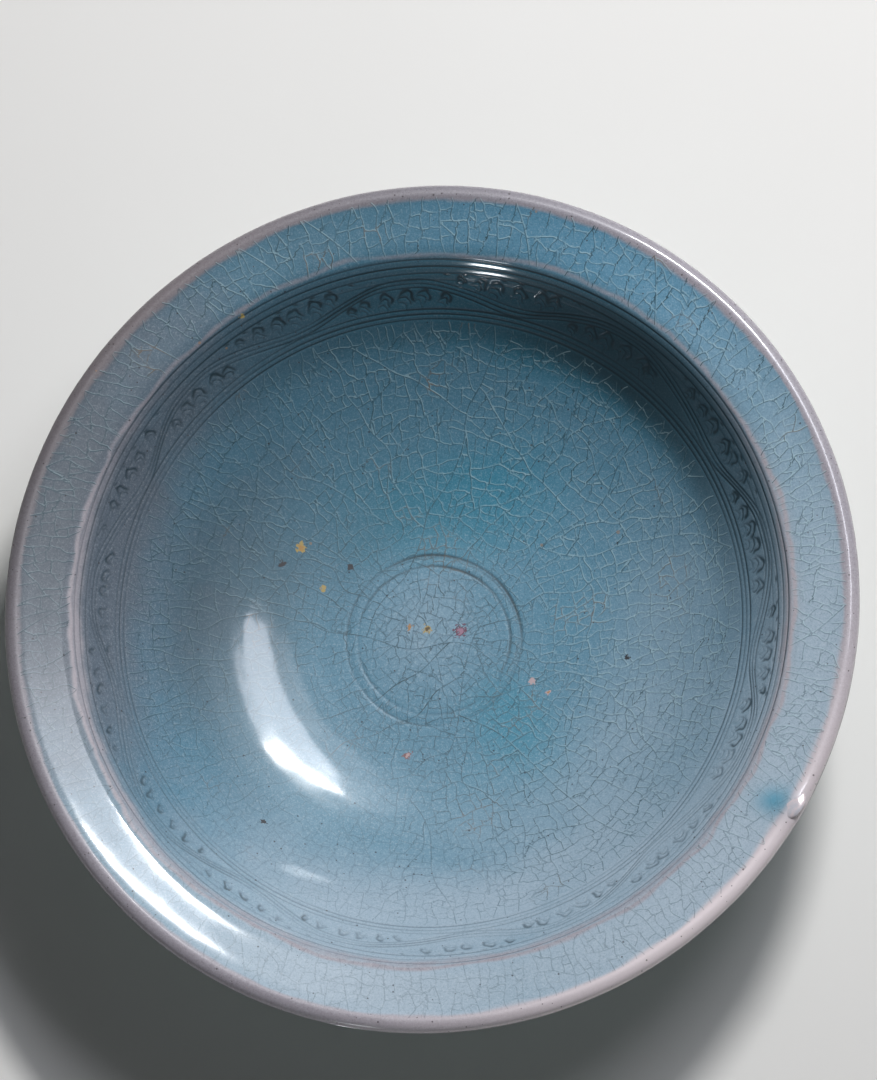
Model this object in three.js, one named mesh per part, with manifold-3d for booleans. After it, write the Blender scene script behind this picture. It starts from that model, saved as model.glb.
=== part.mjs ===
// A large celadon dish: a thrown and turned stoneware body with a rolled lip, a flanged rim and
// a turned foot ring, under two coats of glaze that thin over its edges and pool in its hollows.
// Millimetres, +Z up. The origin is the middle of the plane that the foot ring stands on.

import * as THREE from 'three';
import { mergeVertices } from 'three/addons/utils/BufferGeometryUtils.js';
import Module from 'manifold-3d';

const wasm = await Module();
wasm.setup();

// Overall size of the clay body, with the well's depth from the top of the lip
const rimRadius = 149.5;
const wellDepth = 56;

// Rolled lip. Its turns are in degrees, up from its outermost point.
const lipRoll = 2.6;
const lipInnerTurn = 115;
const lipUnderTurn = -62;

// Flanged rim, measured from the middle of the lip and from the top of the lip. The flange rises
// from the shoulder to the lip and sags a little below the straight line between them.
const flangeWidth = 19.4;
const flangeSag = 0.3;
const shoulderDrop = 4.7;
const shoulderRound = 1.7;

// Well: the rise from its middle to the shoulder follows a power of the radius
const wellPower = 3.4;

// Comb-cut rings: how far in from the shoulder each set starts, its teeth, their spacing and depth
const upperRingsIn = 2.4;
const upperRingPitch = 1.8;
const lowerRingsIn = 15.8;
const lowerRingPitch = 1.4;
const combTeeth = 3;
const combDepth = 0.7;

// Two single rings cut round the middle of the well
const medallionRadius = 31;
const medallionRingGap = 4;
const medallionCutWidth = 1.2;
const medallionCutDepth = 0.6;

// Thickness of the clay, and how far in from the shoulder the underside starts to turn out
const flangeThickness = 5.4;
const wallThickness = 6.6;
const floorThickness = 8;
const underTurnIn = 10;

// Turned foot ring
const footRadius = 60;
const footWidth = 8.5;
const footTaper = 1.6;
const footChamfer = 1;
const footRecess = 5.6;
const footFillet = 3;

// Glaze
const coatThickness = 0.8;
const edgeCoatThickness = 0.4;
const poolThickness = 1.5;
const ringDip = 0.35;
const bareBandAboveFoot = 5;
const bondGap = 0.05;
const coatSeamTurn = 3;

// Kiln lump: a blob of kiln grit that fell on the lip and fused to it. Its place is given by
// a compass angle round the dish and a turn over the roll of the lip.
const lumpLength = 12;
const lumpWidth = 7;
const lumpHeight = 4.4;
const lumpAngle = -30.2;
const lumpLipTurn = 135;
const lumpKnobbliness = 0.09;
const lumpSeatGap = 0.3;

// Facets round the axis and round the lump, and steps on each stretch of the section
const facetsRound = 44;
const lumpFacets = 18;
const lipSteps = 4;
const lipUnderSteps = 2;
const flangeSteps = 4;
const wallSteps = 6;
const bowlSteps = 6;
const middleSteps = 2;
const filletSteps = 2;

const radians = THREE.MathUtils.degToRad;
const lerp = THREE.MathUtils.lerp;

const floorHeight = footRecess + floorThickness;
const rimHeight = floorHeight + wellDepth;
const lipCentre = new THREE.Vector2(rimRadius - lipRoll, rimHeight - lipRoll);
const shoulderRadius = lipCentre.x - flangeWidth;
const shoulderHeight = rimHeight - shoulderDrop;

// The section is a row of stations. Each has a place on the smooth clay surface, how deep the
// comb cuts there, how thick the glaze lies there and how far the glaze sinks into the cut.
function station(radius, height, { cut = 0, coat = coatThickness, dip = 0 } = {}) {
  return { place: new THREE.Vector2(radius, height), cut, coat, dip };
}

// A point of the lip's roll, turned in degrees up from its outermost point.
function onLip(turn, reach = lipRoll) {
  const angle = radians(turn);
  return new THREE.Vector2(Math.cos(angle), Math.sin(angle)).multiplyScalar(reach).add(lipCentre);
}

// The well's height at a radius: nearly flat in the middle and ever steeper to the shoulder.
function wellHeight(radius) {
  const share = radius / shoulderRadius;
  return floorHeight + (shoulderHeight - floorHeight) * share ** wellPower;
}

function wellSlope(radius) {
  const rise = (shoulderHeight - floorHeight) * wellPower / shoulderRadius;
  return rise * (radius / shoulderRadius) ** (wellPower - 1);
}

// The clay's outside lies a wall's thickness off the well, square to it.
function wallOutside(radius) {
  const slope = wellSlope(radius);
  const share = radius / shoulderRadius;
  const thickness = lerp(floorThickness, wallThickness, share) / Math.hypot(1, slope);
  return new THREE.Vector2(radius + thickness * slope, wellHeight(radius) - thickness);
}

// The middle of the pool is thickest, and the coat is back to its common thickness at the shoulder.
function wellCoat(radius) {
  return lerp(poolThickness, coatThickness, radius / shoulderRadius);
}

// A comb's mark: grooves side by side that share the ridges between them.
function combMark(outerRadius, pitch, depth, teeth) {
  const marks = [];
  for (let half = 0; half <= 2 * teeth; half += 1) {
    const radius = outerRadius - (half - 1) * pitch / 2;
    const inGroove = half % 2 === 1;
    const coat = wellCoat(radius);
    const settings = inGroove ? { cut: depth, coat, dip: ringDip } : { coat };
    marks.push(station(radius, wellHeight(radius), settings));
  }
  return marks;
}

// Plain stations of the well between two radii, both left out.
function plainWell(outerRadius, innerRadius, steps) {
  const plain = [];
  for (let i = 1; i < steps; i += 1) {
    const radius = lerp(outerRadius, innerRadius, i / steps);
    plain.push(station(radius, wellHeight(radius), { coat: wellCoat(radius) }));
  }
  return plain;
}

// Underside, from the middle of the base out to the lip. The glaze stops a band above the foot.
function underside() {
  const taperedRadius = footRadius - footTaper;
  const footInner = footRadius - footWidth;
  const stations = [station(0, footRecess)];
  for (let i = 0; i <= filletSteps; i += 1) {
    const turn = radians(90 * i / filletSteps);
    stations.push(station(
      footInner - footFillet * (1 - Math.sin(turn)),
      footRecess - footFillet * (1 - Math.cos(turn))));
  }
  stations.push(
    station(footInner, footChamfer),
    station(footInner + footChamfer, 0),
    station(taperedRadius - footChamfer, 0),
    station(taperedRadius, footChamfer));

  // The foot leans out to the wall and meets it in a small fillet.
  const meets = wallOutside(footRadius);
  const wallTurn = new THREE.Vector2(1, wellSlope(footRadius)).normalize();
  const corner = new THREE.Vector2(footRadius, meets.y);
  const filletEnd = corner.clone().addScaledVector(wallTurn, footFillet);
  const fillet = new THREE.QuadraticBezierCurve(
    new THREE.Vector2(lerp(taperedRadius, footRadius, 0.7), meets.y - footFillet), corner, filletEnd);
  stations.push(...fillet.getPoints(filletSteps).map((p) => station(p.x, p.y)));

  // The wall follows the well from the glaze line up to the flange.
  const glazeStart = footRadius + bareBandAboveFoot;
  const wallEnd = shoulderRadius - underTurnIn;
  const glazeLine = stations.length;
  for (let i = 0; i <= wallSteps; i += 1) {
    const p = wallOutside(lerp(glazeStart, wallEnd, i / wallSteps));
    stations.push(station(p.x, p.y));
  }

  // From there it runs on smoothly, then turns out under the flange to the lip.
  const lastWall = stations[stations.length - 1].place;
  const underHeight = shoulderHeight - flangeThickness;
  const turnPoint = new THREE.Vector2(
    lastWall.x + (underHeight - lastWall.y) / wellSlope(wallEnd), underHeight);
  const underFlange = new THREE.QuadraticBezierCurve(lastWall, turnPoint, onLip(lipUnderTurn));
  stations.push(...underFlange.getPoints(flangeSteps).slice(1).map((p) => station(p.x, p.y)));
  for (let i = 1; i <= lipUnderSteps; i += 1) {
    const p = onLip(lerp(lipUnderTurn, -coatSeamTurn, i / lipUnderSteps));
    stations.push(station(p.x, p.y, { coat: lerp(coatThickness, edgeCoatThickness, i / lipUnderSteps) }));
  }
  return { stations, glazeLine };
}

// Upper side, from the lip's outermost point in to the middle of the well. The two coats of glaze
// meet at that point, with a hairline between them.
function upperSide() {
  const stations = [];
  for (let i = 0; i <= lipSteps; i += 1) {
    const p = onLip(lerp(coatSeamTurn, lipInnerTurn, i / lipSteps));
    stations.push(station(p.x, p.y, { coat: edgeCoatThickness }));
  }

  // The flange comes down from the lip to the shoulder, and the shoulder is rounded over.
  const lipEnd = stations[stations.length - 1].place;
  const shoulderStart = new THREE.Vector2(shoulderRadius + shoulderRound, shoulderHeight);
  const sag = new THREE.Vector2(
    (lipEnd.x + shoulderStart.x) / 2,
    (lipEnd.y + shoulderStart.y) / 2 - 2 * flangeSag);
  const flange = new THREE.QuadraticBezierCurve(lipEnd, sag, shoulderStart);
  stations.push(...flange.getPoints(flangeSteps).slice(1, -1).map((p) => station(p.x, p.y)));
  stations.push(station(shoulderStart.x, shoulderStart.y, { coat: edgeCoatThickness }));
  const shoulderEnd = shoulderRadius - shoulderRound / 2;
  stations.push(station(shoulderEnd, wellHeight(shoulderEnd), { coat: edgeCoatThickness }));

  const upper = combMark(shoulderRadius - upperRingsIn, upperRingPitch, combDepth, combTeeth);
  const lower = combMark(shoulderRadius - lowerRingsIn, lowerRingPitch, combDepth, combTeeth);
  const outerCut = combMark(medallionRadius, medallionCutWidth, medallionCutDepth, 1);
  const innerCut = combMark(medallionRadius - medallionRingGap, medallionCutWidth, medallionCutDepth, 1);
  const last = (marks) => marks[marks.length - 1].place.x;
  stations.push(...upper);
  stations.push(...plainWell(last(upper), lower[0].place.x, middleSteps));
  stations.push(...lower);
  stations.push(...plainWell(last(lower), outerCut[0].place.x, bowlSteps));
  stations.push(...outerCut, ...innerCut);
  stations.push(...plainWell(last(innerCut), 0, middleSteps));
  stations.push(station(0, floorHeight, { coat: poolThickness }));
  return stations;
}

// The way out of the clay at each station, square to the smooth surface.
function outwardAt(stations, index) {
  const before = stations[Math.max(index - 1, 0)].place;
  const after = stations[Math.min(index + 1, stations.length - 1)].place;
  const along = after.clone().sub(before).normalize();
  if (stations[index].place.x === 0) {
    return new THREE.Vector2(0, Math.sign(along.x) * -1);
  }
  return new THREE.Vector2(along.y, -along.x);
}

function buildSection() {
  const { stations: under, glazeLine } = underside();
  const stations = [...under, ...upperSide()];
  const outward = stations.map((_, index) => outwardAt(stations, index));
  const offset = (distances) => stations.map(({ place }, i) =>
    place.clone().addScaledVector(outward[i], distances[i]));
  const clay = offset(stations.map(({ cut }) => -cut));
  const bond = offset(stations.map(({ cut }) => bondGap - cut));
  const glazed = offset(stations.map(({ coat, dip }) => coat - dip));
  return { clay, bond, glazed, glazeLine, lipEdge: under.length - 1 };
}

// Turns a closed section about the axis and stands it up along +Z.
function turned(section) {
  return new THREE.LatheGeometry(section, facetsRound).rotateX(Math.PI / 2);
}

function named(name, geometry, color, roughness) {
  const material = new THREE.MeshStandardMaterial({ color, roughness, metalness: 0 });
  const mesh = new THREE.Mesh(geometry, material);
  mesh.name = name;
  return mesh;
}

// A coat of glaze lies between its bond with the clay and its own surface.
function outsideCoat({ bond, glazed, glazeLine, lipEdge }) {
  const outer = glazed.slice(glazeLine, lipEdge + 1);
  const inner = bond.slice(glazeLine, lipEdge + 1).reverse();
  return turned([...outer, ...inner, outer[0]]);
}

function insideCoat({ bond, glazed, lipEdge }) {
  const inner = bond.slice(lipEdge + 1).reverse();
  return turned([...inner, ...glazed.slice(lipEdge + 1)]);
}

function toSolid(geometry) {
  const bare = geometry.clone();
  bare.deleteAttribute('normal');
  bare.deleteAttribute('uv');
  const merged = mergeVertices(bare);
  const vertProperties = new Float32Array(merged.attributes.position.array);
  const triVerts = new Uint32Array(merged.index.array);
  return new wasm.Manifold(new wasm.Mesh({ numProp: 3, vertProperties, triVerts }));
}

function toGeometry(solid) {
  const { vertProperties, triVerts } = solid.getMesh();
  const geometry = new THREE.BufferGeometry();
  geometry.setAttribute('position', new THREE.BufferAttribute(vertProperties, 3));
  geometry.setIndex(new THREE.BufferAttribute(triVerts, 1));
  geometry.computeVertexNormals();
  return geometry;
}

// The lump is a knobbly egg on the inner side of the lip, cut away where the glazed lip is.
function kilnLump({ glazed, lipEdge }) {
  const egg = new THREE.SphereGeometry(0.5, lumpFacets, lumpFacets / 2);
  const positions = egg.attributes.position;
  const p = new THREE.Vector3();
  for (let i = 0; i < positions.count; i += 1) {
    p.fromBufferAttribute(positions, i);
    const knob = Math.sin(9 * p.x + 1) * Math.cos(8 * p.y + 2) * Math.cos(7 * p.z);
    p.multiplyScalar(1 + lumpKnobbliness * knob);
    positions.setXYZ(i, p.x, p.y, p.z);
  }
  const seat = onLip(lumpLipTurn);
  egg.scale(lumpHeight, lumpLength, lumpWidth);
  egg.rotateY(-radians(lumpLipTurn));
  egg.translate(seat.x, 0, seat.y);
  egg.rotateZ(radians(lumpAngle));

  // The lip's section, grown by the seat's gap and closed through the thickness of the flange
  const lipStations = glazed.slice(lipEdge - lipUnderSteps - 1, lipEdge + lipSteps + flangeSteps);
  const grown = lipStations.map((place, i) =>
    place.clone().addScaledVector(outwardAt(lipStations.map((q) => ({ place: q })), i), lumpSeatGap));
  const lip = toSolid(turned([...grown, grown[0]]));
  return toGeometry(toSolid(egg).subtract(lip));
}

const section = buildSection();
const plate = new THREE.Group();
plate.add(
  named('stoneware_body', turned(section.clay), 0x8c7468, 0.9),
  named('outside_glaze_coat', outsideCoat(section), 0xa3b5ae, 0.25),
  named('inside_glaze_coat', insideCoat(section), 0x9fb6bc, 0.2),
  named('kiln_lump', kilnLump(section), 0xb9aaa4, 0.4),
);

export default plate;
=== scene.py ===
"""Looks of a large celadon dish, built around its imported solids.

The glaze is worked out as one smooth section turned about the axis, with the comb's cuts, the
crackle and the unevenness of the throwing laid on it. It is made in rings, from the middle of
the well out over the lip and down the outside, so that each ring is a closed body of its own.
"""

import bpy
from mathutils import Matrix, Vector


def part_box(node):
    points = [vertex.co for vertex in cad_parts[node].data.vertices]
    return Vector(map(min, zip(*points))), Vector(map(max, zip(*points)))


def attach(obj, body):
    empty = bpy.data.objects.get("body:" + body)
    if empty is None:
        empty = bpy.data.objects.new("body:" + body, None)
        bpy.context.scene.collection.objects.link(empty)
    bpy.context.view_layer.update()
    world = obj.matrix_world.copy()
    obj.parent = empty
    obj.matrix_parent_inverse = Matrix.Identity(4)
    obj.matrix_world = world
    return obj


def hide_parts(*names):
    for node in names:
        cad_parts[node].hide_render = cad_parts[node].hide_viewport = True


bl_info = {
    "name": "Celadon dish",
    "version": (1, 0, 0),
    "blender": (4, 5, 0),
    "location": "3D View > Sidebar > Dish",
    "description": "Builds a crackled celadon dish, ring by ring, around its packed solids",
    "category": "Add Mesh",
}

import math
import types

import bpy
import numpy as np
from mathutils import Matrix, Vector

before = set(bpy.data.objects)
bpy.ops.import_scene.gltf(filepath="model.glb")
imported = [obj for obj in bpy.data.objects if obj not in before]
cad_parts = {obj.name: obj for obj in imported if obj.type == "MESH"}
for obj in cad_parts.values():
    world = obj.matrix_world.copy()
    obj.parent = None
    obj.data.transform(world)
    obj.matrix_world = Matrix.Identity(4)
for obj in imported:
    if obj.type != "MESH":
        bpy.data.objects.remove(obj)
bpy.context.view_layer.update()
CLAY_LOW, CLAY_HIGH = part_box("stoneware_body")

MM = 0.001
WHOLE_TURN = 2 * math.pi


# Settings

def length(name, description, millimetres):
    """A property that holds a length, with its default given in millimetres."""
    return bpy.props.FloatProperty(
        name=name, description=description, default=millimetres * MM, unit="LENGTH", precision=5)


def angle(name, description, degrees):
    """A property that holds an angle, with its default given in degrees."""
    return bpy.props.FloatProperty(
        name=name, description=description, default=math.radians(degrees), unit="ROTATION")


def number(name, description, value):
    """A property that holds a plain number."""
    return bpy.props.FloatProperty(name=name, description=description, default=value, precision=4)


def whole(name, description, value):
    """A property that holds a whole number."""
    return bpy.props.IntProperty(name=name, description=description, default=value)


def colour(name, description, red, green, blue):
    """A colour property, with its default given as the 0 to 255 values that a screen shows."""
    shown = [value / 255 for value in (red, green, blue)]
    linear = [v / 12.92 if v <= 0.04045 else ((v + 0.055) / 1.055) ** 2.4 for v in shown]
    return bpy.props.FloatVectorProperty(
        name=name, description=description, default=linear, size=3, subtype="COLOR", min=0, max=1)


class DishForm(bpy.types.PropertyGroup):
    """Sizes of the dish, close to those of its solids, and how far it is out of true."""
    rim_radius: length("Rim radius", "Radius of the clay at the lip", CLAY_HIGH.y / MM)
    rim_height: length("Rim height", "Height of the clay at the lip", CLAY_HIGH.z / MM)
    well_depth: length("Well depth", "From the top of the lip to the middle of the well", 56)
    lip_roll: length("Lip roll", "Radius of the rolled lip", 2.6)
    lip_inner_turn: angle("Lip inner turn", "Where the roll meets the flange", 115)
    lip_under_turn: angle("Lip under turn", "Where the roll meets the underside", -62)
    flange_width: length("Flange width", "From the shoulder to the middle of the lip", 19.4)
    flange_middle: length("Flange middle", "Radius at which the flange is flattest", 135.7)
    flange_curl: number("Flange curl", "How fast the flange steepens both ways from there", 0.0018)
    near_warp: length("Near warp", "Lift of the lip, and sag of the shoulder, on the near left", 0.27)
    near_warp_in: length("Near warp reach", "How far in from the shoulder the sag starts", 32)
    shoulder_drop: length("Shoulder drop", "How far the shoulder lies below the lip", 5.1)
    shoulder_round: length("Shoulder round", "Rounding of the shoulder", 1.7)
    well_power: number("Well power", "The well rises by this power of the radius", 3.4)
    floor_thickness: length("Floor thickness", "Clay in the middle", 8)
    wall_thickness: length("Wall thickness", "Clay near the shoulder", 6.6)
    flange_thickness: length("Flange thickness", "Clay of the flange", 5.4)
    under_turn_in: length("Under turn", "Where the underside starts to turn out", 10)
    foot_radius: length("Foot radius", "Foot ring, outside", 60)
    foot_width: length("Foot width", "Foot ring, across", 8.5)
    foot_taper: length("Foot taper", "How far the foot leans in to the ground", 1.6)
    foot_chamfer: length("Foot chamfer", "Chamfer of the foot's edges", 1)
    foot_recess: length("Foot recess", "Depth of the recess inside the foot", 5.6)
    foot_fillet: length("Foot fillet", "Fillet in the recess and above the foot", 3)
    bare_band: length("Bare band", "Unglazed clay above the foot", 5)
    oval: number("Oval", "How far out of round the rim has gone, as a share of its radius", 0.0118)
    oval_turn: angle("Oval turn", "Direction of the long axis of the rim", 69.5)
    rim_warp: length("Rim warp", "Rise and fall of the rim", 0.4)
    off_centre_x: length("Well off centre, X", "How far the well lies off the middle of the rim", -1.62)
    off_centre_y: length("Well off centre, Y", "How far the well lies off the middle of the rim", -0.56)
    fit: number("Fit", "Scale that keeps the warped rim inside the size of the solids", 0.9904)
    lump_height: length("Lump height", "Kiln lump, off the lip", 4.2)
    lump_length: length("Lump length", "Kiln lump, round the lip", 11.6)
    lump_width: length("Lump width", "Kiln lump, over the lip's roll", 8)
    lump_turn: angle("Lump turn", "Direction of the kiln lump from the middle", -30.2)
    lump_seat_turn: angle("Lump seat", "Where on the lip's roll the lump sits", 110)
    lump_sink: length("Lump sink", "How deep the lump sits in the lip", 0.25)


class CoatForm(bpy.types.PropertyGroup):
    """Thickness of the glaze and the depth of what is cut under it."""
    coat: length("Coat", "Common thickness of the glaze", 0.8)
    edge_coat: length("Coat at edges", "Thickness on the lip", 0.4)
    pool_coat: length("Coat in the pool", "Thickness in the middle of the well", 1.5)
    bond_gap: length("Bond gap", "Hairline between glaze and clay", 0.05)
    upper_rings_in: length("Upper rings", "First upper ring, in from the shoulder", 2.4)
    upper_pitch: length("Upper pitch", "Spacing of the upper rings", 1.8)
    lower_rings_in: length("Lower rings", "First lower ring, in from the shoulder", 15.8)
    lower_pitch: length("Lower pitch", "Spacing of the lower rings", 1.4)
    cut_depth: length("Cut depth", "Depth of the cuts that shows through the glaze", 0.24)
    ring_width: length("Ring width", "Half width of a ring", 0.38)
    medallion_radius: length("Medallion", "Radius of the outer ring in the middle", 31)
    medallion_gap: length("Medallion gap", "From the outer ring to the inner one", 4)
    comb_pitch: length("Comb pitch", "Spacing of the comb's teeth", 2.2)
    lump_swell: length("Lump swell", "How far the glaze swells up round the kiln lump", 0.95)
    swell_radius: length("Swell radius", "From the axis to the middle of that swelling", 145.6)
    swell_reach: length("Swell reach", "Half length of that swelling", 7.5)
    crack_ridge: length("Crack ridge", "Height of the glaze that stands up along a crack", 0.006)
    crack_width: length("Crack width", "Half width of that ridge", 0.5)
    crack_cap: length("Crack reach", "How far from a crack its distance is kept", 1.25)
    crack_seed: whole("Crack seed", "Start of the random numbers for the crackle", 11)


class GlazeColours(bpy.types.PropertyGroup):
    """Colours of the finishes."""
    celadon: colour("Celadon", "Common colour of the glaze", 84, 134, 157)
    teal: colour("Teal", "Glaze where it lies thick", 50, 131, 156)
    grey: colour("Grey", "Greyer glaze on one side of the dish", 104, 114, 126)
    blue: colour("Blue", "Bluer glaze on the flange", 88, 144, 172)
    # Also painted light, on the right and the near side of the dish.
    pale: colour("Pale", "Milky glaze", 162, 180, 194)
    thin: colour("Thin glaze", "Glaze over the lip and the shoulder", 161, 155, 163)
    # On the lip's near right this is partly painted light.
    cream: colour("Cream", "Milky glaze on the near right of the lip", 232, 220, 222)
    pool: colour("Pool", "Clear pool inside the kiln lump", 76, 148, 174)
    # On the lip's far left this is partly painted shade.
    brown: colour("Brown", "Glaze burnt thin on the lip", 96, 76, 64)
    # Also the colour that the painted shade darkens towards.
    groove_and_shade: colour("Groove", "Glaze pooled in a cut", 17, 40, 48)
    # Partly a painted shadow: the line lies on the crack's side away from the light.
    crack: colour("Crack", "Line of a crack", 34, 66, 76)
    # A painted highlight.
    glint: colour("Crack glint", "Lit side of a crack", 184, 212, 218)
    outside: colour("Outside glaze", "Thinner glaze of the outside", 150, 172, 170)
    clay: colour("Bare clay", "Unglazed stoneware", 150, 112, 92)
    clay_dark: colour("Burnt clay", "Stoneware flashed in the kiln", 104, 66, 50)
    grit: colour("Kiln grit", "Glassy blob from the kiln", 214, 200, 202)
    iron: colour("Iron speck", "Iron specks in the glaze", 44, 34, 34)
    stain: colour("Rust stain", "Rusty stains", 168, 122, 66)
    floor: colour("Floor", "Studio floor", 226, 224, 220)


class StageSettings(bpy.types.PropertyGroup):
    """Camera and lights."""
    tilt: angle("Camera tilt", "Angle between the view and the dish's axis", 14.34)
    turn: angle("Camera turn", "Side to which the camera leans", 10.81)
    distance: length("Camera distance", "From the camera to the rim's plane", 2500)
    frame_height: length("Frame height", "Height of the picture at the rim's plane", 370.9)
    shift_right: length("Aim right", "Aim of the camera, to the right", 2.62)
    shift_up: length("Aim up", "Aim of the camera, upward in the picture", 21.29)
    main: number("Main lamp", "Light of the small bright lamp on a surface that faces it", 0.75)
    soft: number("Soft lamp", "Light of the broad lamp beside it", 0.26)
    glow: number("Glow lamp", "Light of the broadest lamp, behind both", 0.085)
    low: number("Low lamp", "Light of the low lamp on the near side", 0.11)
    far: number("Far lamp", "Light of the low lamp on the far side", 0.008)
    ambient: number("Ambient", "Even light of the room", 0.062)


GROUPS = {
    "dish_form": DishForm,
    "dish_coat": CoatForm,
    "dish_colours": GlazeColours,
    "dish_stage": StageSettings,
}


def settings(group):
    """The settings of a group, with lengths turned to millimetres."""
    held = getattr(bpy.context.scene, group)
    values = types.SimpleNamespace()
    for prop in held.bl_rna.properties:
        if prop.identifier in ("rna_type", "name"):
            continue
        value = getattr(held, prop.identifier)
        if getattr(prop, "unit", "NONE") == "LENGTH":
            value /= MM
        setattr(values, prop.identifier, value)
    return values


# Curves

def smooth_step(low, high, value):
    """0 below low, 1 above high, and an S-curve between them."""
    share = np.clip((value - low) / (high - low), 0.0, 1.0)
    return share * share * (3.0 - 2.0 * share)


def plateau(low, full, fading, gone, value):
    """0 below low, 1 from full to fading, and 0 again from gone on, with S-curves between."""
    return smooth_step(low, full, value) * (1 - smooth_step(fading, gone, value))


def lerp(start, end, share):
    """A value between two others, at a share of the way from the first."""
    return start + (end - start) * share


def blend(corners, share_x, share_y):
    """A value between those at the four corners of a cell, lower ones first."""
    low_left, low_right, high_left, high_right = corners
    return lerp(lerp(low_left, low_right, share_x), lerp(high_left, high_right, share_x), share_y)


def bell(distance, width):
    """1 at no distance, 1 / e at a width away, falling off as in a bell curve."""
    return np.exp(-(distance / width) ** 2)


def bezier(start, control, end, count):
    """A quadratic curve from start to end, pulled towards control."""
    t = np.linspace(0.0, 1.0, count)[:, None]
    return (1 - t) ** 2 * np.array(start) + 2 * (1 - t) * t * np.array(control) + t ** 2 * np.array(end)


def path_lengths(points):
    """Distance along a row of points, from its first one."""
    return np.concatenate(([0.0], np.cumsum(np.hypot(*np.diff(points, axis=0).T))))


def blur_margin(sigma):
    """How many rows a blur needs beyond each end of what it blurs."""
    return int(math.ceil(3 * sigma))


def blurred(rows, sigma):
    """Gaussian blur along the first axis of an array that already has its margins; they are used up."""
    reach = blur_margin(sigma)
    weights = np.exp(-0.5 * (np.arange(-reach, reach + 1) / sigma) ** 2)
    weights /= weights.sum()
    return np.column_stack([np.convolve(column, weights, "valid") for column in rows.T])


def waves(rng, count, longest, shortest):
    """Random sine waves over three coordinates: their directions, lengths and phases."""
    turns = rng.normal(size=(count, 3))
    turns /= np.linalg.norm(turns, axis=1)[:, None]
    sizes = np.geomspace(longest, shortest, count)
    return turns * (WHOLE_TURN / sizes)[:, None], rng.uniform(0, WHOLE_TURN, count), sizes / longest


def ripple(wave_set, x, y, z):
    """Sum of random sine waves at each place, the longer ones stronger, within about -1 to 1."""
    turns, phases, weights = wave_set
    total = np.zeros(np.shape(x))
    for turn, phase, weight in zip(turns, phases, weights):
        total = total + weight * np.sin(turn[0] * x + turn[1] * y + turn[2] * z + phase)
    return total / weights.sum() * 1.8


# Section of the dish

# Points along each stretch of the section, and the side on which it sags, in degrees
WELL_STEPS = 400
LIP_STEPS = 200
FLANGE_STEPS = 160
WALL_STEPS = 240
NEAR_WARP_TURN = 222
NEAR_WARP_WIDTH = 75


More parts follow.
